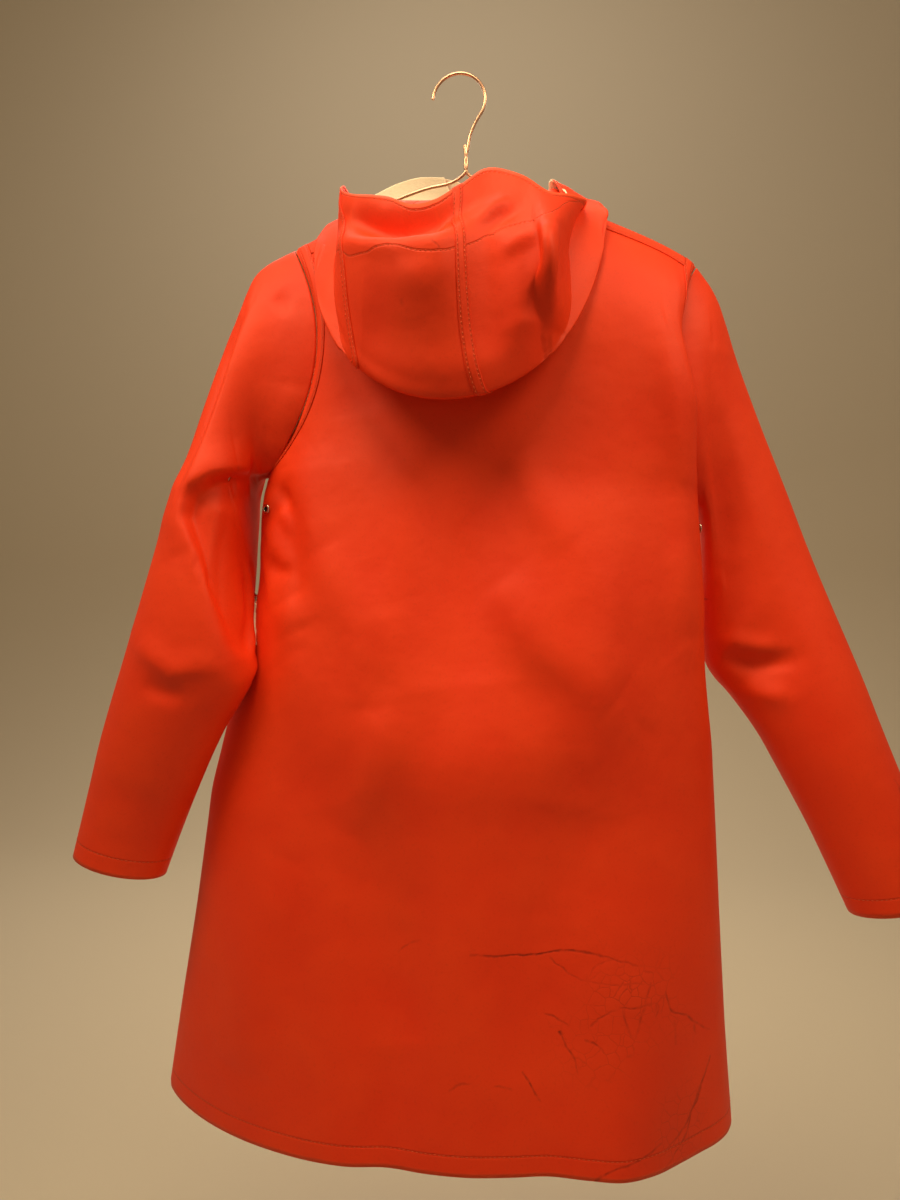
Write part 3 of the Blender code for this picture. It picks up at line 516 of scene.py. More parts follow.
def between(grid, row, column):
    """A grid read between its points."""
    row = min(max(row, 0), grid.shape[0] - 1)
    column = min(max(column, 0), grid.shape[1] - 1)
    i, j = min(int(row), grid.shape[0] - 2), min(int(column), grid.shape[1] - 2)
    f, g = row - i, column - j
    upper = grid[i, j] * (1 - g) + grid[i, j + 1] * g
    lower = grid[i + 1, j] * (1 - g) + grid[i + 1, j + 1] * g
    return upper * (1 - f) + lower * f


def columns_in(grid, row, column, step, distance):
    """The column that lies a distance from another, walking along the row by step 1 or -1."""
    here = between(grid, row, column)
    while 0 <= column + step <= grid.shape[1] - 1:
        there = between(grid, row, column + step)
        length = np.linalg.norm(there - here)
        if length >= distance:
            return column + step * distance / length
        distance -= length
        column, here = column + step, there
    return column


def from_edge(points, axis, last):
    """How far each point of a grid is from its first or last row (axis 0) or column (axis 1)."""
    lines = np.flip(points, axis) if last else points
    steps = np.linalg.norm(np.diff(lines, axis=axis), axis=2)
    start = np.zeros_like(np.take(steps, [0], axis))
    distance = np.concatenate([start, np.cumsum(steps, axis=axis)], axis=axis)
    return np.flip(distance, axis) if last else distance


COAT_TONES, COAT_ENDS = ("#e9350a", "#f04010"), (0.3, 0.75)
# CREASE_COLOUR darkens old creases, and is also the colour of the painted shade in stitched grooves and round
# crushed webs
SPECK_COLOUR, RUBBED_COLOUR, CREASE_COLOUR = "#9c2408", "#f26a38", "#7c1a04"
REVERSE_TONES = ("#efdcc6", "#fbefe0")
COAT_ROUGH, COAT_IOR, COAT_SHINE, REVERSE_ROUGH, REVERSE_SHEEN = (0.5, 0.62), 1.5, 0.32, 0.9, 0.25
# noises: about how many clouds to a metre, their detail and roughness
CLOUDS, SPECKS, SHAKES, WEAR = (11.0, 4.0, 0.6), (420.0,), (70.0, 3.0), (160.0,)
SKIN, FLUFF, SCRATCHES_DETAIL = (22.0, 3.0), (300.0, 3.0), 4.0
# reliefs: how strongly they show, and their depth in metres
SKIN_RELIEF, THREAD_RELIEF, CREASE_RELIEF = (0.4, 0.004), (0.25, 0.00012), (0.6, 0.0006)
NAP_RELIEF, RIB_RELIEF, SCRATCH_RELIEF = (0.3, 0.0004), (0.4, 0.0003), (0.05, 0.00002)
# ranges of a noise or a distance, and what they are brought to
SPECK_RANGE, SPECK_SHARE = (0.25, 0.45), 0.10
RUBBED_RANGE, RUBBED_SHARE = (0.0, 5 * MM), 0.4
GROOVE_RANGE, GROOVE_SHADE = (0.4 * MM, 1.6 * MM), 0.16
WEAR_RANGE, WEAR_LEFT = (0.35, 0.6), (0.35, 1.0)
PATCH_RANGE = (0.45, 0.6)
WAVER = 6 * MM
CREASE_SOFT = 1.3
CREASE_FADE = ((0, 0), (0.12, 0.8), (0.4, 1), (0.75, 0.7), (1, 0))
# the fourth of these says how strongly a painted shade darkens the cloth round a web
WEB_CELLS, WEB_LINE, WEB_SHADE, WEB_PAINTED_SHADE, WEB_Y = 75.0, 0.045, 0.32, 0.16, 0.1
THREADS, RIBS, RIB_WAVER = 350.0, 224.0, 1.5
LINE_NAMES = ("edge", "stitch", "second_stitch")


def old_crease(tree, place, line, width, strength):
    """How dark an old crease is at a place: a bent line in x and z, strongest in its first half."""
    line = np.array(line, float) * MM
    (x, z), (along_x, along_z) = line[0], line[-1] - line[0]
    length = math.hypot(along_x, along_z)
    steps = line - line[0]
    run = (steps @ (along_x, along_z)) / length ** 2
    off = (steps @ (-along_z, along_x)) / length ** 2
    own = add(tree, "Mapping", {"Vector": place, "Location": (x, 0, z), "Scale": (length,) * 3,
                                "Rotation": (0, -math.atan2(along_z, along_x), 0)}, vector_type="TEXTURE")
    axes = add(tree, "SeparateXYZ", {"Vector": own.outputs["Vector"]}).outputs
    curves = []
    for knots in (list(zip(run, off + 0.5)), CREASE_FADE):
        node = add(tree, "FloatCurve", {"Value": axes["X"]})
        curve = node.mapping.curves[0]
        curve.points[0].location, curve.points[1].location = knots[0], knots[-1]
        for knot in knots[1:-1]:
            curve.points.new(*knot)
        node.mapping.extend = "HORIZONTAL"
        node.mapping.update()
        curves.append(node.outputs["Value"])
    bend, fade = curves
    away = maths(tree, "SUBTRACT", maths(tree, "SUBTRACT", bend, axes["Z"]), 0.5)
    reach = CREASE_SOFT * width * MM / length
    drawn = ranged(tree, maths(tree, "ABSOLUTE", away), (0.0, reach), (strength, 0.0), smooth=True)
    return maths(tree, "MULTIPLY", drawn, fade)


def crushed(tree, place, spot, cloud, web):
    """How dark the fine creases are at a place, 13 mm apart, and how much painted shade darkens the cloth
    round them.
    """
    x, z, reach = web
    cells = add(tree, "TexVoronoi", {"Vector": place, "Scale": WEB_CELLS}, feature="DISTANCE_TO_EDGE")
    lines = ranged(tree, cells.outputs["Distance"], (0.0, WEB_LINE), (WEB_SHADE, 0.0), smooth=True)
    middle = (x * MM, WEB_Y, z * MM)
    away = add(tree, "VectorMath", {0: spot, 1: middle}, operation="DISTANCE").outputs["Value"]
    near = ranged(tree, away, (0.0, reach * MM), (1.0, 0.0), smooth=True)
    patchy = ranged(tree, cloud, PATCH_RANGE, (0.0, 1.0))
    lines = maths(tree, "MULTIPLY", maths(tree, "MULTIPLY", lines, near), patchy)
    return lines, maths(tree, "MULTIPLY", near, WEB_PAINTED_SHADE)


def coated_cotton(name, marks=(), webs=()):
    """Cotton with a coloured rubber coat: smooth and half matt, the weave only just felt through it.
    Marks are old creases that kept dirt: a line in x and z of the coat, a width and how dark it is.
    Webs are places in x and z, with a reach, where it was crushed into many fine creases, with painted shade
    round them."""
    made, tree = new_material(name)
    place = add(tree, "UVMap", uv_map="cloth").outputs["UV"]
    spot = add(tree, "TexCoord").outputs["Object"]
    edge, *stitched = (add(tree, "Attribute", attribute_name=key).outputs["Fac"] for key in LINE_NAMES)
    # colour: clouds 90 mm wide where it was handled, specks of dirt 2 mm wide, rubbed lighter at cut edges
    cloud = noise(tree, spot, *CLOUDS)
    speck = ranged(tree, noise(tree, spot, *SPECKS), SPECK_RANGE, (SPECK_SHARE, 0.0))
    colour = mixed(tree, speck, tones(tree, cloud, *COAT_TONES, COAT_ENDS), SPECK_COLOUR)
    rubbed = ranged(tree, edge, RUBBED_RANGE, (RUBBED_SHARE, 0.0))
    colour = mixed(tree, rubbed, colour, RUBBED_COLOUR)
    # a line of stitching draws the cloth in to a groove 2 mm wide where it runs; its colour is darkened there
    # with painted shade
    nearest = maths(tree, "MINIMUM", *(maths(tree, "ABSOLUTE", line) for line in stitched))
    groove = ranged(tree, nearest, GROOVE_RANGE, (1.0, 0.0), smooth=True)
    shade, sunk = maths(tree, "MULTIPLY", groove, GROOVE_SHADE), groove
    if marks:
        # creases waver by a few millimetres and are worn away in spots 6 mm wide
        shaken = {0: noise(tree, spot, *SHAKES, output="Color"), 1: (0.5, 0.5, 0.5)}
        shaken = add(tree, "VectorMath", shaken, operation="SUBTRACT").outputs["Vector"]
        shaken = add(tree, "VectorMath", {0: shaken, "Scale": WAVER}, operation="SCALE").outputs["Vector"]
        wavering = add(tree, "VectorMath", {0: spot, 1: shaken}).outputs["Vector"]
        worn = ranged(tree, noise(tree, spot, *WEAR), WEAR_RANGE, WEAR_LEFT)
    for mark in marks:
        drawn = maths(tree, "MULTIPLY", old_crease(tree, wavering, *mark), worn)
        shade, sunk = (maths(tree, "MAXIMUM", value, drawn) for value in (shade, sunk))
    for web in webs:
        drawn, painted_shade_patch = crushed(tree, wavering, spot, cloud, web)
        shade, sunk = (maths(tree, "MAXIMUM", value, drawn) for value in (shade, sunk))
        # painted shade: the colour round each web is darkened
        colour = mixed(tree, painted_shade_patch, colour, CREASE_COLOUR)
    colour = mixed(tree, shade, colour, CREASE_COLOUR)
    # relief: threads 0.9 mm apart, drawn as coarse as they need to show, under a soft skin of rubber
    threads = (
        add(tree, "TexWave", {"Vector": place, "Scale": THREADS}, bands_direction=way).outputs["Fac"]
        for way in "XY"
    )
    weave = maths(tree, "MULTIPLY", *threads)
    skin = raised(tree, noise(tree, spot, *SKIN), *SKIN_RELIEF)
    woven = raised(tree, weave, *THREAD_RELIEF, skin)
    return shaded(made, {
        "Base Color": colour, "Roughness": ranged(tree, cloud, (0.0, 1.0), COAT_ROUGH), "IOR": COAT_IOR,
        "Specular IOR Level": COAT_SHINE, "Normal": raised(tree, sunk, *CREASE_RELIEF, woven, inwards=True),
    })


def cotton_reverse():
    """The bare inner face of the cloth: undyed cotton jersey with a soft nap, ribs 1.4 mm apart."""
    made, tree = new_material("undyed_cotton_reverse")
    place = add(tree, "UVMap", uv_map="cloth").outputs["UV"]
    rib = {"Vector": place, "Scale": RIBS, "Distortion": RIB_WAVER}
    rib = add(tree, "TexWave", rib, bands_direction="X").outputs["Fac"]
    fluff = noise(tree, place, *FLUFF)
    return shaded(made, {
        "Base Color": tones(tree, fluff, *REVERSE_TONES), "Roughness": REVERSE_ROUGH,
        "Sheen Weight": REVERSE_SHEEN,
        "Normal": raised(tree, rib, *RIB_RELIEF, raised(tree, fluff, *NAP_RELIEF)),
    })


# marks: a line in x and z, its width and how dark it is; webs: x, z and reach, with painted shade round them
BACK_MARKS = (
    (((-20, -840), (-47, -840), (-76, -840), (-113, -836), (-139, -839), (-163, -847), (-181, -851)),
     1.5, 0.75),
    (((-92, -843), (-101, -849), (-113, -858), (-129, -862)), 1.3, 0.45),
    (((-129, -862), (-150, -864), (-184, -864)), 1.2, 0.3),
    (((-184, -864), (-181, -874), (-177, -885)), 1.2, 0.4),
    (((-127, -858), (-137, -846), (-156, -843)), 1.2, 0.25),
    (((-66, -942), (-75, -955), (-85, -970)), 1.4, 0.7),
    (((-101, -906), (-102, -909), (-103, -911)), 2.2, 0.9),
    (((-101, -908), (-108, -921), (-113, -927), (-115, -935), (-117, -944)), 1.3, 0.55),
    (((-87, -892), (-98, -896), (-109, -901)), 1.3, 0.55),
    (((-128, -901), (-137, -893), (-153, -885)), 1.4, 0.5),
    (((-153, -883), (-169, -885), (-188, -883)), 1.3, 0.5),
    (((-186, -883), (-190, -887), (-187, -896)), 1.3, 0.4),
    (((-157, -885), (-162, -903), (-169, -912)), 1.5, 0.4),
    (((-169, -912), (-173, -899), (-180, -880)), 1.5, 0.4),
    (((-123, -912), (-134, -917), (-142, -923)), 1.4, 0.5),
    (((-196, -874), (-203, -892), (-218, -902), (-233, -916), (-244, -923)), 1.4, 0.6),
    (((-242, -947), (-235, -965), (-224, -988), (-213, -1002), (-195, -1015)), 1.5, 0.65),
    (((-193, -1006), (-175, -1015), (-149, -1023), (-139, -1029), (-123, -1045)), 1.5, 0.65),
    (((-237, -962), (-225, -985), (-216, -1008), (-208, -1019), (-194, -1031)), 1.4, 0.55),
    (((-1, -962), (-12, -955), (-24, -953)), 1.5, 0.3),
    (((-43, -954), (-52, -957), (-59, -960)), 1.4, 0.35),
    (((49, -844), (37, -835), (24, -828)), 1.4, 0.25),
    (((-206, -903), (-206, -914), (-207, -926)), 1.5, 0.3),
    (((-226, -909), (-226, -916), (-227, -924)), 1.5, 0.3),
)
BACK_WEBS = ((-160, -890, 110), (-205, -1000, 80))
outer_face, inner_face = coated_cotton("rubber_coated_cotton"), cotton_reverse()
# the back's cloth also carries painted shade round its crushed webs
marked_face = coated_cotton("rubber_coated_cotton_with_old_creases_and_painted_shade", BACK_MARKS, BACK_WEBS)
OFF_ALL_LINES = 1.0  # an attribute's value, in metres, where no edge or line of stitching is near


def cloth(name, points, stands_for, around=False, turned=False, wall=CLOTH, offset=-1,
          edge=None, stitched=(), outer=outer_face, faced=None):
    """A sheet of cloth through a fine grid, its wall on its inner side, or on its outer side by offset 1.
    edge is each point's distance from a free edge, stitched its distances from up to two lines of
    stitching, and faced says where the inner face is covered with the same coated cloth."""
    rows, columns = points.shape[:2]
    wide = columns if around else columns - 1
    r, c = np.meshgrid(np.arange(rows - 1), np.arange(wide), indexing="ij")
    beside = (c + 1) % columns
    corners = ((r, c), (r, beside), (r + 1, beside), (r + 1, c))
    faces = np.stack([row * columns + column for row, column in corners], -1)
    across = np.linalg.norm(np.diff(points, axis=1), axis=2).mean(axis=0)
    down = np.linalg.norm(np.diff(points, axis=0), axis=2).mean(axis=1)
    u = np.concatenate([[0], across, [across[-1]]]).cumsum()
    v = np.concatenate([[0], down]).cumsum()
    uv = np.stack([np.stack([u[c + k], v[r + j]], -1) for j, k in ((0, 0), (0, 1), (1, 1), (1, 0))], -2)
    faces, uv = faces.reshape(-1, 4), uv.reshape(-1, 4, 2)
    if turned:
        faces, uv = faces[:, ::-1], uv[:, ::-1]
    mesh = bpy.data.meshes.new(name)
    mesh.from_pydata(points.reshape(-1, 3).tolist(), [], faces.tolist())
    mesh.uv_layers.new(name="cloth").data.foreach_set("uv", uv.ravel())
    lines = [edge, *stitched, None, None]
    for key, line in zip(LINE_NAMES, lines):
        values = np.full(rows * columns, OFF_ALL_LINES) if line is None else line.ravel()
        mesh.attributes.new(key, "FLOAT", "POINT").data.foreach_set("value", values)
    mesh.shade_smooth()
    for made in (outer, inner_face, outer, outer):
        mesh.materials.append(made)
    if faced is not None:
        mesh.polygons.foreach_set("material_index", 2 * faced[:-1, :wide].ravel().astype(int))
    piece = placed(name, mesh)
    solid = piece.modifiers.new("wall", "SOLIDIFY")
    solid.thickness, solid.offset, solid.material_offset = wall, offset, 1
    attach(piece, "root")
    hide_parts(stands_for)
    return piece


def parted(points, face):
    """A panel drawn back from its shoulder and side seams by the seams' gap."""
    points = points.copy()
    neck = slice(SHOULDER_COLUMNS * BODY_FINE, (SHOULDER_COLUMNS + NECK_COLUMNS) * BODY_FINE + 1)
    moved = points[0, neck].copy()
    points[0, :, 1] = face * SEAM_GAP
    points[0, neck] = moved
    points[ARM_ROWS * BODY_FINE:, (0, -1), 1] += face * SEAM_GAP
    return points


back_grid, front_grid = body_surface(1), body_surface(-1)
back_fine = refined(back_grid, BODY_FINE, BODY_FINE)
back_fine = parted(creased(back_fine, BACK_CREASES, 1, normals(back_fine)), 1)
front_fine = refined(front_grid, BODY_FINE, BODY_FINE)
front_fine = parted(creased(front_fine, FRONT_CREASES, -1, normals(front_fine, -1)), -1)

back_hem = from_edge(back_fine, 0, True)
coat_back = cloth("coat_back", back_fine, "back", edge=back_hem, stitched=[back_hem - HEM_STITCH],
                  outer=marked_face)

laps = {
    side: np.array([
        [between(front_fine, row, columns_in(front_fine, row, MIDDLE, step, share * FRONT_LAP))
         for share in LAP_SHARES] for row in range(front_fine.shape[0])
    ]) for side, step in (("left", -1), ("right", 1))
}
left = np.concatenate([laps["left"][:, ::-1], front_fine[:, MIDDLE:]], axis=1)
right = np.concatenate([front_fine[:, :MIDDLE + 1], laps["right"]], axis=1)
right[:, :, 1] -= LAP_OFFSET * np.interp(np.arange(right.shape[1]) / BODY_FINE, *FRONT_LIFT)
fronts = {}
for side, grid in (("left", left), ("right", right)):
    hem, lap = from_edge(grid, 0, True), from_edge(grid, 1, side == "right")
    piece = cloth(f"coat_front_{side}", grid, f"front_{side}", turned=True, edge=np.minimum(hem, lap),
                  stitched=[hem - HEM_STITCH, lap - LAP_STITCH])
    fronts[side] = (piece, grid, hem, lap)

# ---------------------------------------------------------------- the sleeves
# Each is one piece of the same cloth rolled to a tube and set into the armhole, its seam underneath.
# The left one folds over itself below the underarm, and both keep sharp creases at the elbow.
SLEEVE_ROWS, SLEEVE_AROUND, SLEEVE_FINE = 19, 20, 8
SLEEVE_STAND_OFF = 3 * MM
STAND_OFF_REACH = 60 * MM
STAND_OFF_ROUNDS = 3
SQUARE_SHARE = 0.8
ARMHOLE_GAP = 3 * SEAM_GAP
CUFF_STITCH = 19 * MM
# folds: angle round the sleeve and half width in degrees, push, and where along it they peak and fade
SLEEVE_FOLDS = {
    "left": (
        (150, 55, 7, 0.27, 0.10),
        (162, 52, -32, 0.47, 0.17),
    ),
    "right": (
        (70, 40, 5, 0.35, 0.30),
        (120, 55, -7, 0.62, 0.09),
    ),
}
SLEEVE_CREASES = {
    ("left", 1): (
        (((199, -234), (221, -311), (240, -379), (250, -417)), 4, 22, 4.0),
        (((209, -236), (230, -312), (249, -380), (259, -418)), 14, 4, -5.0),
        (((178, -222), (168, -232), (158, -236)), 8, 12, -3.0),
        (((155, -311), (165, -360), (182, -384)), 22, 22, 6.0),
        (((170, -391), (196, -396), (225, -407), (243, -421),
          (246, -438), (232, -470), (202, -561), (188, -582)), 5, 26, -10.0),
        (((170, -383), (200, -389), (231, -400), (251, -416), (256, -440), (243, -476)), 24, 4.5, 8.0),
        (((300, -560), (260, -585), (215, -580)), 10, 16, 4.0),
        (((290, -600), (250, -610)), 8, 10, -3.0),
    ),
    ("left", -1): (
        (((215, -400), (240, -440), (230, -520)), 10, 20, -5.0),
        (((300, -560), (260, -590), (225, -590)), 10, 16, 4.0),
    ),
    ("right", 1): (
        (((-243, -280), (-249, -378), (-259, -485)), 10, 22, -6.0),
        (((-259, -577), (-291, -584), (-328, -576)), 8, 10, -5.0),
        (((-262, -560), (-310, -567)), 8, 10, 4.0),
        (((-278, -606), (-320, -615)), 10, 12, 4.0),
    ),
    ("right", -1): (
        (((-250, -545), (-300, -570), (-350, -560)), 9, 14, 4.0),
        (((-235, -420), (-262, -480), (-250, -540)), 10, 18, -5.0),
    ),
}


SLEEVE_MARKS = (
    (((-240, -513), (-244, -519), (-249, -521)), 1.6, 0.7),
    (((352, -640), (348, -652), (340, -660)), 1.6, 0.3),
    (((-420, -690), (-428, -704), (-431, -722)), 1.6, 0.3),
)


def surface_tree(grids):
    """A tree of the outer faces of some grids, each given with whether its columns run the other way."""
    points, faces = [], []
    for grid, turned in grids:
        rows, columns = grid.shape[:2]
        first = len(points)
        points += [Vector(point) for point in grid.reshape(-1, 3)]
        for corner in (r * columns + c for r in range(rows - 1) for c in range(columns - 1)):
            face = [first + corner + k for k in (0, 1, columns + 1, columns)]
            faces.append(face[::-1] if turned else face)
    return BVHTree.FromPolygons(points, faces)


def stand_off(points, under, gap):
    """Move points, edges and faces of a grid off a surface that they are nearer to than a gap, or inside."""
    for down, across in ((0, 0), (0, 1), (1, 0), (1, 1)) * STAND_OFF_ROUNDS:
        for row, column in np.ndindex(points.shape[0] - down, points.shape[1] - across):
            patch = points[row:row + down + 1, column:column + across + 1]
            middle = Vector(patch.mean(axis=(0, 1)))
            place, normal, _, away = under.find_nearest(middle)
            height = (middle - place).dot(normal)
            beyond_edge = abs(height) < SQUARE_SHARE * away
            if height < gap and away < STAND_OFF_REACH and not beyond_edge:
                patch += np.array(normal) * (gap - height)


def sleeve_surface(side):
    """Outer points of a sleeve, rows from the armhole to the cuff and columns round it."""
    table = SLEEVE_TABLES[side]
    points = np.zeros((SLEEVE_ROWS + 1, SLEEVE_AROUND, 3))
    for row in range(SLEEVE_ROWS + 1):
        section = smooth(table, row / SLEEVE_ROWS)
        for column in range(SLEEVE_AROUND):
            angle = 360 * column / SLEEVE_AROUND
            points[row, column] = section_point(section, math.radians(angle))
            for middle, half_width, push, peak, spread in SLEEVE_FOLDS[side]:
                strength = bump(angle - middle, half_width) * bump(row / SLEEVE_ROWS - peak, spread)
                points[row, column, 1] += push * MM * strength
    points[0, :, 0] += math.copysign(ARMHOLE_GAP, table[0][0])
    return points


body_tree = surface_tree([(back_grid, False), (front_grid, True)])
scratched_face = coated_cotton("rubber_coated_cotton_with_scratches", SLEEVE_MARKS)
sleeves = {}
for side, sign in (("left", -1), ("right", 1)):
    grid = sleeve_surface(side)
    stand_off(grid[1:], body_tree, SLEEVE_STAND_OFF)
    fine = refined(grid, SLEEVE_FINE, SLEEVE_FINE, around=True)
    for face in (1, -1):
        fine = creased(fine, SLEEVE_CREASES[side, face], face, normals(fine, sign, around=True))
    cuff = from_edge(fine, 0, True)
    piece = cloth(f"coat_sleeve_{side}", fine, f"sleeve_{side}", around=True, turned=side == "left",
                  edge=cuff, stitched=[cuff - CUFF_STITCH], outer=scratched_face)
    sleeves[side] = (piece, fine, cuff)

# ---------------------------------------------------------------- the hood
# Three panels of the same cloth sewn to the neckline and thrown back, so that it hangs as an open bag
# down the back. Its front edge is turned under in a broad hem, and the throat shows the bare reverse.
HOOD_COLUMNS = (
    "x_left", "x_right", "y_side", "z_left", "z_right", "y_back", "z_back",
    "front_x", "y_front", "z_front", "front_rise", "seam_left", "seam_right",
)
HOOD_TABLE = (
    (73, -87, 0, -119, -119, 54, -146, -7, -60, -165, 1.6, 150, 205),
    (104, -116, 14, -138, -130, 88, -186, -4, -66, -150, 1.6, 147, 204),
    (134, -142, 34, -168, -144, 104, -260, 0, -68, -132, 1.2, 142, 202),
    (130, -134, 56, -196, -182, 112, -323, 4, -68, -118, 0.7, 138, 200),
    (116, -116, 58, -200, -198, 128, -343, 10, -67, -108, 0.7, 134, 196),
    (109, -108, 64, -182, -186, 148, -300, 18, -66, -98, 1.1, 124, 191),
    (108, -112, 58, -154, -168, 164, -234, 28, -64, -88, 1.8, 118, 187),
    (107, -124, 48, -122, -148, 134, -169, 36, -60, -72, 2.6, 97, 181),
)
HOOD_RIGHT_RISE = 1.6
HOOD_LAP = 7
HOOD_LIFT = ((32, 33, 34), (0, 0.4, 1))
HOOD_DROOP = 0.85
HOOD_SPACING = 1.2
NECKLINE_GAP = 4 * SEAM_GAP
# folds: angle round the neck and half width in degrees, push back, lift, and where they peak and fade
HOOD_FOLDS = (
    (199, 26, -28, 32, 1.0, 0.42),
    (163, 20, 4, -9, 1.0, 0.40),
    (226, 17, 15, 0, 0.78, 0.20),
    (236, 24, 15, 3, 0.80, 0.24),
)
HOOD_ROWS, HOOD_AROUND = 16, (5, 7, 8, 8, 8)
HOOD_SEAMS = (sum(HOOD_AROUND[:2]), sum(HOOD_AROUND[:3]))
HOOD_DOWN, HOOD_ACROSS = 8, 12
HOOD_STAND_OFF = 4.5 * MM
HOOD_RIM_LIFT = 7 * MM
FACED_COLUMNS = (*range(5, 16), *range(19, 31))
FACED_ROWS = 9
HOOD_EDGE_STITCH = 5 * MM
UNSEWN_COLUMNS = 5
# how wide the hem round the face is, by column: it runs into the rim at the right side of the neck
HOOD_HEM_COLUMNS = (0, 10, 13, 15, 17, 20, 20.6, 21, 22, 22.6, 24, 25)
HOOD_HEM_WIDTHS = (40, 90, 97, 94, 86, 66, 76, 80, 58, 46, 12, 4)
HOOD_CREASES = (
    (((94, -174), (76, -184), (60, -191), (38, -195), (6, -194), (-16, -183)), 12, 13, -22.0),
    (((92, -198), (76, -206), (58, -214), (38, -220), (6, -219), (-12, -208)), 9, 7, 6.0),
    (((76, -280), (40, -284), (-14, -284)), 30, 36, -6.0),
    (((-27, -195), (-42, -180), (-55, -172)), 7, 7, 4.5),
    (((-38, -200), (-50, -189), (-64, -182)), 6, 6, -4.0),
    (((-50, -222), (-62, -214), (-76, -206)), 5, 9, 4.0),
    (((-77, -203), (-79, -226), (-81, -250), (-82, -266), (-84, -280)), 28, 5, -9.0),
    (((-82, -200), (-85, -226), (-87, -250), (-88, -266), (-89, -284)), 3, 20, 8.0),
)
HOOD_MARKS = (
    (((8, -219), (6, -221), (2, -224)), 1.6, 0.4),
    (((3, -222), (0, -227), (-4, -229)), 1.3, 0.3),
    (((34, -263), (34, -267), (33, -271)), 2.0, 0.3),
)


def hood_point(row, degrees):
    """A point of a hood ring, by its angle round the neck: 0 in front, 90 left, 180 behind."""
    side, ahead = math.sin(math.radians(degrees)), math.cos(math.radians(degrees))
    share = (side + 1) / 2
    x = row["x_right"] + (row["x_left"] - row["x_right"]) * share
    z = row["z_right"] + (row["z_left"] - row["z_right"]) * share
    if ahead > 0:
        x += (row["front_x"] - (row["x_left"] + row["x_right"]) / 2) * ahead ** 2
        y = row["y_side"] + (row["y_front"] - row["y_side"]) * ahead
        z += (row["z_front"] - z) * ahead ** (row["front_rise"] * (1 if side > 0 else HOOD_RIGHT_RISE))
    else:
        y = row["y_side"] - (row["y_back"] - row["y_side"]) * ahead
        z += (row["z_back"] - z) * (-ahead) ** HOOD_DROOP
    return np.array([x, y, z]) * MM


def on_neckline(point, behind):
    """The point of a body panel's top edge above or below a point of the hood's first ring."""
    edge = (back_grid if behind else front_grid)[0]
    return np.array([point[0], *(np.interp(point[0], edge[:, 0], edge[:, k]) for k in (1, 2))])


def hood_surface():
    """Points of the hood's outer face, rings from neckline to rim, columns right round the neck."""
    points = np.zeros((HOOD_ROWS + 1, sum(HOOD_AROUND) + 1, 3))
    for row in range(HOOD_ROWS + 1):
        share = (row / HOOD_ROWS) ** HOOD_SPACING
        ring = dict(zip(HOOD_COLUMNS, smooth(HOOD_TABLE, share)))
        on_ridge = math.degrees(math.acos(ring["y_side"] / (ring["y_side"] - ring["y_front"])))
        stops = (-HOOD_LAP, on_ridge, ring["seam_left"], ring["seam_right"], 360 - on_ridge, 360 + HOOD_LAP)
        runs = [np.linspace(stops[k], stops[k + 1], count + 1)[:-1] for k, count in enumerate(HOOD_AROUND)]
        for column, degrees in enumerate([*np.concatenate(runs), stops[-1]]):
            point = hood_point(ring, degrees)
            for middle, half_width, push, lift, peak, spread in HOOD_FOLDS:
                strength = bump(degrees - middle, half_width) * bump(share - peak, spread)
                point += np.array([0, push, lift]) * MM * strength
            if row == 0:
                point = on_neckline(point, 90 < degrees < 270)
                point[2] += NECKLINE_GAP
            points[row, column] = point
    for column in (HOOD_AROUND[0], -1 - HOOD_AROUND[-1]):
        for row in range(1, HOOD_ROWS + 1):
            x, _, z = points[row, column]
            above = HOOD_STAND_OFF + HOOD_RIM_LIFT * max(0.0, 2 * row / HOOD_ROWS - 1)
            if abs(x - MIDDLE_X) > NECK_HALF:
                points[row, column, 2] = max(z, ridge_z(x) + above)
    return points


hood_grid = hood_surface()
stand_off(hood_grid[1:], body_tree, HOOD_STAND_OFF)
hood_fine = refined(hood_grid, HOOD_DOWN, HOOD_ACROSS)
hood_fine = creased(hood_fine, HOOD_CREASES, 1, normals(hood_fine))
hood_rim = from_edge(hood_fine, 0, True)
hood_hem = np.interp(np.arange(hood_fine.shape[1]) / HOOD_ACROSS, HOOD_HEM_COLUMNS, HOOD_HEM_WIDTHS) * MM
seams = [column * HOOD_ACROSS for column in HOOD_SEAMS]
scuffed_face = coated_cotton("rubber_coated_cotton_with_scuffs", HOOD_MARKS)
panel_ends = {"left": (0, seams[0]), "middle": seams, "right": (seams[1], hood_fine.shape[1] - 1)}
for name, (start, end) in panel_ends.items():
    panel = hood_fine[:, start:end + 1].copy()
    if name == "right":
        panel[:, :, 1] -= LAP_OFFSET * np.interp(np.arange(start, end + 1) / HOOD_ACROSS, *HOOD_LIFT)
    else:
        panel[:, -1] += along(panel[:, -1], panel[:, -2]) * SEAM_GAP
    if start:
        panel[:, 0] += along(panel[:, 0], panel[:, 1]) * SEAM_GAP
    rim = hood_rim[:, start:end + 1]
    row, column = np.ogrid[:panel.shape[0], start:end + 1]
    away_from_throat = np.isin(column // HOOD_ACROSS, FACED_COLUMNS)
    faced = away_from_throat & ((row < FACED_ROWS * HOOD_DOWN) | (rim < hood_hem[start:end + 1]))
    cloth(
        f"coat_hood_{name}", panel, f"hood_{name}", edge=rim, faced=faced,
        stitched=[rim - HOOD_EDGE_STITCH, rim - hood_hem[start:end + 1]], outer=scuffed_face,
    )

# ---------------------------------------------------------------- the tapes over the seams
# Narrow bands of the same cloth, welded flat over each seam against rain and stitched along both edges.
TAPE = 0.7 * MM
TAPE_WIDTH = 11 * MM
TAPE_INSET = 2.5 * MM
LEAST_STEP = 0.01 * MM


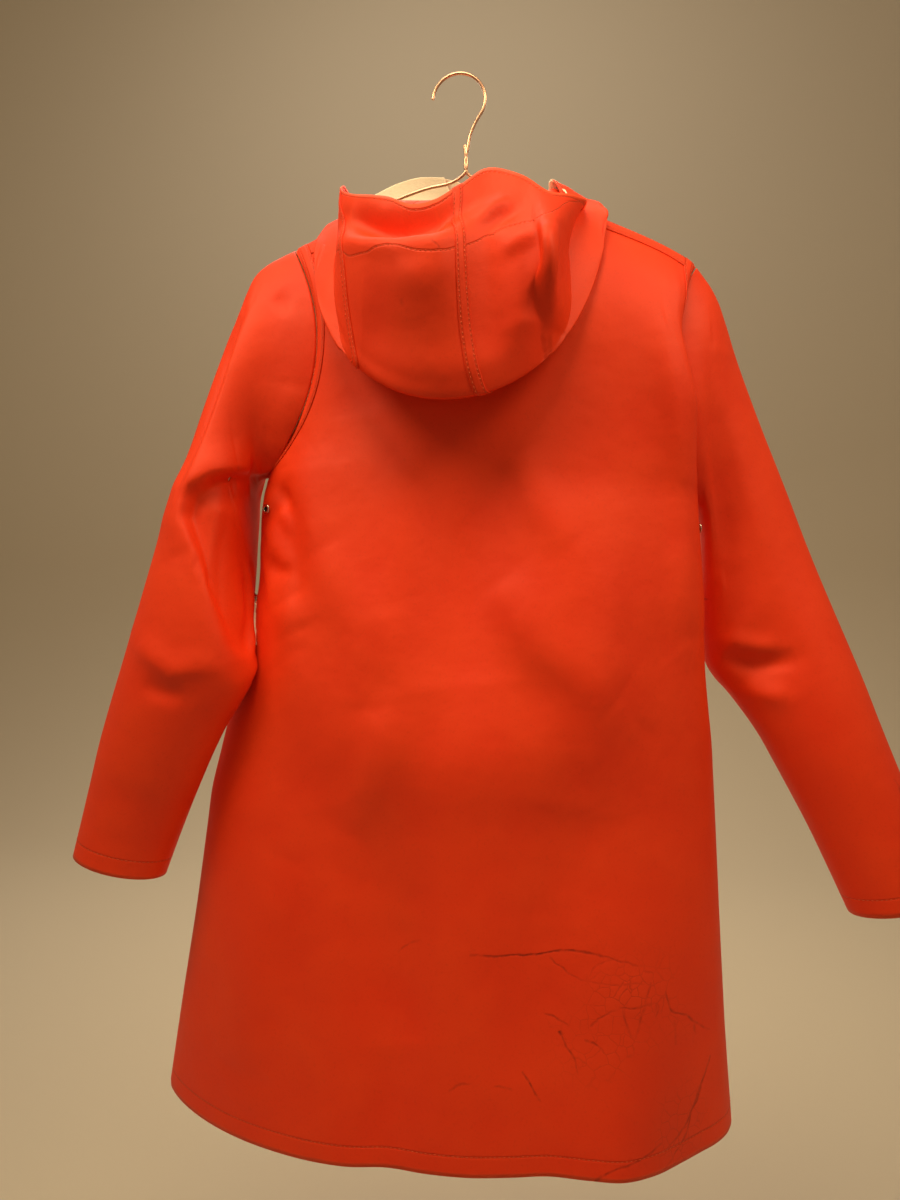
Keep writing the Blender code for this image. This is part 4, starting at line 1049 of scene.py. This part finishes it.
def tape(name, rails, stands_for, turned=False):
    """A band of cloth through its rails, and the runs of the two lines of stitching along it."""
    lines = [np.broadcast_to(TAPE_PLACES - place, rails.shape[:2]) for place in TAPE_STITCHES]
    piece = cloth(name, rails, stands_for, turned=turned, wall=TAPE, offset=1, stitched=lines)
    out = normals(rails, -1 if turned else 1)
    runs = []
    for place in TAPE_STITCHES:
        column = np.interp(place, TAPE_PLACES, np.arange(len(TAPE_PLACES)))
        line = np.array([between(rails, row, column) for row in range(len(rails))])
        away = np.array([between(out, row, column) for row in range(len(rails))])
        runs.append((line + away * TAPE, away))
    return piece, runs


def on_cloth(grid, out, row, column, lift):
    """A point a little above a panel."""
    return between(grid, row, column) + between(out, row, column) * lift


# six rails across the tape, low at its edges, and its two lines of stitching
TAPE_LIFTS = np.array((0.1, 0.4, 0.4, 0.4, 0.4, 0.1)) * MM
TAPE_PLACES = np.array((0, 0.12, 0.37, 0.63, 0.88, 1)) * TAPE_WIDTH
TAPE_STITCHES = (1.9 * MM, 9.1 * MM)
# rows of the fine grids where tapes start and end; the right armhole's ends inside the fold of the back
TAPE_START = 2
RIGHT_TAPE_ROWS = 27
SHOULDER_TAPE_START, SHOULDER_TAPE_ROWS, SHOULDER_TAPE_FROM = 7.5, 7.0, 8
SHOULDER_TAPE_PAST, SHOULDER_TAPE_STATIONS = 1.05, 40
back_out, front_out = normals(back_fine), normals(front_fine, -1)
last_column = back_fine.shape[1] - 1
last_row = ARM_ROWS * BODY_FINE
body_tapes, tape_runs = [], []
for side, edge, step in (("right", 0, 1), ("left", last_column, -1)):
    stations = [(back_fine, back_out, row) for row in range(TAPE_START, last_row)]
    if side == "right":
        stations = stations[:RIGHT_TAPE_ROWS]
    else:
        rows = range(last_row - TAPE_START, TAPE_START, -1)
        stations += [(front_fine, front_out, row) for row in rows]
    rails = np.array([
        [on_cloth(grid, out, row, columns_in(grid, row, edge, step, TAPE_INSET + place), lift)
         for place, lift in zip(TAPE_PLACES, TAPE_LIFTS)]
        for grid, out, row in stations
    ])
    made, runs = tape(f"coat_armhole_tape_{side}", rails, f"armhole_tape_{side}", turned=side == "left")
    body_tapes.append(made)
    tape_runs += runs

    start = columns_in(back_fine, SHOULDER_TAPE_FROM, edge, step, TAPE_INSET + TAPE_WIDTH)
    end = edge + step * SHOULDER_COLUMNS * BODY_FINE * SHOULDER_TAPE_PAST
    rows = SHOULDER_TAPE_START + SHOULDER_TAPE_ROWS * TAPE_PLACES / TAPE_WIDTH
    rails = np.array([
        [on_cloth(back_fine, back_out, row, column, lift) for row, lift in zip(rows, TAPE_LIFTS)]
        for column in np.linspace(start, end, SHOULDER_TAPE_STATIONS)
    ])
    made, runs = tape(f"coat_shoulder_tape_{side}", rails, f"shoulder_tape_{side}", turned=side == "right")
    body_tapes.append(made)
    tape_runs += runs

hood_out = normals(hood_fine)
hood_tapes, hood_runs = [], []
for side, seam_column in zip(("left", "right"), seams):
    rails = np.array([
        [on_cloth(hood_fine, hood_out, row,
                  columns_in(hood_fine, row, seam_column, 1 if place > TAPE_WIDTH / 2 else -1,
                             max(abs(place - TAPE_WIDTH / 2), LEAST_STEP)), lift)
         for place, lift in zip(TAPE_PLACES, TAPE_LIFTS)]
        for row in range(2 * HOOD_DOWN, hood_fine.shape[0])
    ])
    made, runs = tape(f"coat_hood_tape_{side}", rails, f"hood_tape_{side}")
    hood_tapes.append(made)
    hood_runs += runs

# ---------------------------------------------------------------- the stitching
# Orange polyester thread in every topstitched line: hem, cuffs, both edges of the fronts, the tapes and
# the hem of the hood. Each stitch is 3 mm of thread that dips into its needle holes. The thread is a
# little paler than the coat and duller, its twist 0.5 mm apart.
STITCH_PITCH, STITCH_LENGTH, THREAD = 4.2 * MM, 3.1 * MM, 0.4 * MM


thread_material = two_toned("orange_polyester_thread", "#b93a12", "#f0662f", 2000.0, 0.6)


def line_where(grid, out, distance, value, around=False):
    """The run of a stitched line that crosses every column where a distance from an edge has one value."""
    line, away = [], []
    for column in range(grid.shape[1]):
        order = np.argsort(distance[:, column])
        row = np.interp(value, distance[order, column], order)
        line.append(between(grid, row, column))
        away.append(between(out, row, column))
    if around:
        line.append(line[0])
        away.append(away[0])
    return np.array(line), np.array(away)


def stitches(name, runs):
    """One piece of all the stitches along some runs, each a spindle of eight faces."""
    points, faces = [], []
    for line, away in runs:
        places = np.concatenate([[0], np.linalg.norm(np.diff(line, axis=0), axis=1).cumsum()])

        def at(place, values):
            return np.array([np.interp(place, places, values[:, k]) for k in range(3)])

        for start in np.arange(STITCH_PITCH, places[-1] - STITCH_PITCH, STITCH_PITCH):
            ends = at(start, line), at(start + STITCH_LENGTH, line)
            out = at(start + STITCH_LENGTH / 2, away)
            side = np.cross(ends[1] - ends[0], out)
            side *= THREAD / max(np.linalg.norm(side), TINY)
            middle = at(start + STITCH_LENGTH / 2, line)
            first = len(points)
            points += [*ends, middle + side, middle + out * THREAD, middle - side, middle - out * THREAD]
            for k in range(4):
                one, other = first + 2 + k, first + 2 + (k + 1) % 4
                faces += [(first, one, other), (first + 1, other, one)]
    mesh = bpy.data.meshes.new(name)
    mesh.from_pydata([tuple(point) for point in points], [], faces)
    mesh.materials.append(thread_material)
    mesh.shade_smooth()
    piece = placed(name, mesh)
    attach(piece, "root")
    return piece


back_stitches = stitches("stitches_back", [line_where(back_fine, back_out, back_hem, HEM_STITCH)] + tape_runs)
for side, (piece, grid, hem, lap) in fronts.items():
    out = normals(grid, -1)
    lap_run = line_where(grid.swapaxes(0, 1), out.swapaxes(0, 1), lap.T, LAP_STITCH)
    sewn = stitches(f"stitches_front_{side}", [line_where(grid, out, hem, HEM_STITCH), lap_run])

for side, sign in (("left", -1), ("right", 1)):
    piece, grid, cuff = sleeves[side]
    run = line_where(grid, normals(grid, sign, around=True), cuff, CUFF_STITCH, around=True)
    sewn = stitches(f"stitches_cuff_{side}", [run])

lapless = slice(0, (sum(HOOD_AROUND) - UNSEWN_COLUMNS) * HOOD_ACROSS)
hood_runs += [
    line_where(hood_fine[:, lapless], hood_out[:, lapless], beyond[:, lapless], 0)
    for beyond in (hood_rim - HOOD_EDGE_STITCH, hood_rim - hood_hem)
]
hood_stitches = stitches("stitches_hood", hood_runs)
HOOD_CUTS = {"left": (0.19, 0.39, 0.038), "middle": (0.17, 0.44, 0.05), "right": (0.30, 0.43, 0.063)}
for name, (width, length, area) in HOOD_CUTS.items():
    sewn = [hood_stitches, *hood_tapes] if name == "middle" else []

# ---------------------------------------------------------------- the metal
# Snap caps and vent eyelets are pressed from plated brass; the hanger is bent from one copper wire.
SNAP_RADIUS = 6 * MM
SNAP_ROWS = (4, 8.5, 13, 17.5, 22)
# the cap's turned profile: radius and height, with a rolled rim, a ring-shaped groove and a flat crown
SNAP_PROFILE = (
    (6.0, 0.0), (6.2, 0.5), (6.0, 1.0), (5.5, 1.35), (4.9, 1.15), (4.4, 1.35), (3.2, 1.9), (1.6, 2.2),
)
ROUND_STEPS = 40
EYELET_RADIUS = 3.6 * MM
EYELET_WIRE = 1.3 * MM
EYELET_ROW = 12
EYELET_INSET = 34 * MM
EYELET_BARREL = 2.5 * MM
EYELET_FLAT = 0.6
EYELET_SINK = EYELET_WIRE / 4
WIRE_RADIUS = 1.6 * MM
WIRE_GAP = 1.4 * MM
SOLID_CLOTH = 1.5 * MM
HOOK_RADIUS = 26 * MM
HOOK_TURNS = (4, 221, 12)
STEM_LEAN = 0.5 * MM
STEM = ((1.5, -63), (0.5, -69), (0, -97))
ARM_START = ((10, -103), (40, -110))
ARM_REACHES = (82, 108, 133, 158, 183, 200)
ARM_END = ((210, -204), (211, -212), (200, -214))
WIRE_FINE = 6
WIRE_BEVEL = 3
ROUGH_LESS, ROUGH_MORE = 0.06, 0.12


def polished_metal(name, colour, rough, apart):
    """Polished metal with fine scratches; apart is how far apart they are, in metres."""
    made, tree = new_material(name)
    scratch = noise(tree, add(tree, "TexCoord").outputs["Object"], 1 / apart, SCRATCHES_DETAIL)
    return shaded(made, {
        "Base Color": linear(colour), "Metallic": 1.0,
        "Roughness": ranged(tree, scratch, (0.0, 1.0), (rough - ROUGH_LESS, rough + ROUGH_MORE)),
        "Normal": raised(tree, scratch, *SCRATCH_RELIEF),
    })


def pressed(name, stands_for, point, normal):
    """Lay the metal piece that was just made on the cloth, its axis along the cloth's normal."""
    piece = bpy.context.object
    piece.name = piece.data.name = name
    turned = Vector(normal).to_track_quat("Z", "Y").to_matrix().to_4x4()
    piece.data.transform(Matrix.Translation(Vector(point)) @ turned)
    piece.data.shade_smooth()
    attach(piece, "root")
    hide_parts(stands_for)
    return piece


silver = polished_metal("nickel_plated_brass", "#cfcbc4", 0.22, 0.002)
copper = polished_metal("copper_plated_steel_wire", "#ecb9a0", 0.26, 0.006)
front_middle, middle_out = front_fine[:, MIDDLE], front_out[:, MIDDLE]
for number, coarse in enumerate(SNAP_ROWS):
    row = (coarse - 1) * BODY_FINE
    normal = middle_out[int(row)]
    bpy.ops.mesh.primitive_circle_add(vertices=ROUND_STEPS, radius=SNAP_RADIUS, fill_type="NGON")
    bpy.ops.object.mode_set(mode="EDIT")
    for (last, below), (radius, height) in zip(SNAP_PROFILE[:-1], SNAP_PROFILE[1:]):
        bpy.ops.mesh.extrude_region_move(TRANSFORM_OT_translate={"value": (0, 0, (height - below) * MM)})
        bpy.ops.transform.resize(value=(radius / last, radius / last, 1))
    bpy.ops.object.mode_set(mode="OBJECT")
    # the outer front lies LAP_OFFSET before the middle line that both fronts were made from
    place = front_middle[int(row)] - np.array((0, LAP_OFFSET, 0)) + normal * SEAM_GAP
    cap = pressed(f"snap_cap_{number + 1}", f"snap_{number + 1}", place, normal)
    cap.data.materials.append(silver)

# the unlit inside of the coat, as it shows through the hole
hole_material = two_toned("shade_in_the_eyelet", "#0b0605", "#2a120b", 900.0, 0.9)
for side, edge, step in (("right", 0, 1), ("left", last_column, -1)):
    row = (EYELET_ROW - 1) * BODY_FINE
    column = columns_in(back_fine, row, edge, step, EYELET_INSET)
    bpy.ops.mesh.primitive_torus_add(
        major_segments=ROUND_STEPS, minor_segments=12, major_radius=EYELET_RADIUS, minor_radius=EYELET_WIRE
    )
    bpy.context.object.data.materials.append(silver)
    bpy.context.object.data.materials.append(hole_material)
    bpy.ops.object.mode_set(mode="EDIT")
    bpy.ops.mesh.select_all(action="SELECT")
    bpy.ops.transform.resize(value=(1, 1, EYELET_FLAT))
    bpy.ops.mesh.select_all(action="DESELECT")
    bpy.ops.mesh.primitive_cylinder_add(
        vertices=ROUND_STEPS, radius=EYELET_BARREL, depth=EYELET_WIRE, end_fill_type="NOTHING",
        location=(0, 0, -EYELET_SINK)
    )
    bpy.ops.mesh.flip_normals()
    bpy.ops.mesh.select_all(action="DESELECT")
    bpy.ops.mesh.primitive_circle_add(
        vertices=ROUND_STEPS, radius=EYELET_BARREL, fill_type="NGON", location=(0, 0, -EYELET_SINK)
    )
    bpy.context.object.active_material_index = 1
    bpy.ops.object.material_slot_assign()
    bpy.ops.object.mode_set(mode="OBJECT")
    normal = between(back_out, row, column)
    place = between(back_fine, row, column) + normal * (EYELET_WIRE * EYELET_FLAT + SEAM_GAP)
    pressed(f"vent_eyelet_{side}", f"eyelet_{side}", place, normal)


def hanger_route():
    """The one wire of the hanger: hook, stem, right arm, bar, left arm, and up beside the stem."""
    centre_z = WIRE_RADIUS - HOOK_RADIUS
    hook = [
        (HOOK_RADIUS * math.cos(turn), centre_z + HOOK_RADIUS * math.sin(turn))
        for turn in np.radians(np.arange(*HOOK_TURNS))
    ]
    half_stem = WIRE_RADIUS + SEAM_GAP / 2
    stem = [(half_stem + reach * MM, z * MM) for reach, z in STEM]
    below = SOLID_CLOTH + WIRE_RADIUS + WIRE_GAP
    arm = [(reach * MM, z * MM) for reach, z in ARM_START]
    arm += [(reach * MM, ridge_z(MIDDLE_X + reach * MM) - below) for reach in ARM_REACHES]
    arm += [(reach * MM, z * MM) for reach, z in ARM_END]
    right = [(MIDDLE_X - reach, z) for reach, z in stem + arm]
    left = [(MIDDLE_X + reach, z) for reach, z in reversed(arm)]
    end = [(MIDDLE_X + half_stem, stem[2][1]), (MIDDLE_X + half_stem - STEM_LEAN, stem[1][1])]
    return hook + right + left + end


route = through(np.array([(x, 0, z) for x, z in hanger_route()]), WIRE_FINE)
curve = bpy.data.curves.new("wire", "CURVE")
curve.dimensions, curve.use_fill_caps = "3D", True
curve.bevel_depth, curve.bevel_resolution = WIRE_RADIUS, WIRE_BEVEL
spline = curve.splines.new("POLY")
spline.points.add(len(route) - 1)
for point, place in zip(spline.points, route):
    point.co = (*place, 1)
drawn = placed("wire", curve)
wire = placed("hanger_wire", bpy.data.meshes.new_from_object(drawn))
bpy.data.objects.remove(drawn)
wire.data.materials.clear()
wire.data.materials.append(copper)
wire.data.shade_smooth()
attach(wire, "root")
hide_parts("hanger")
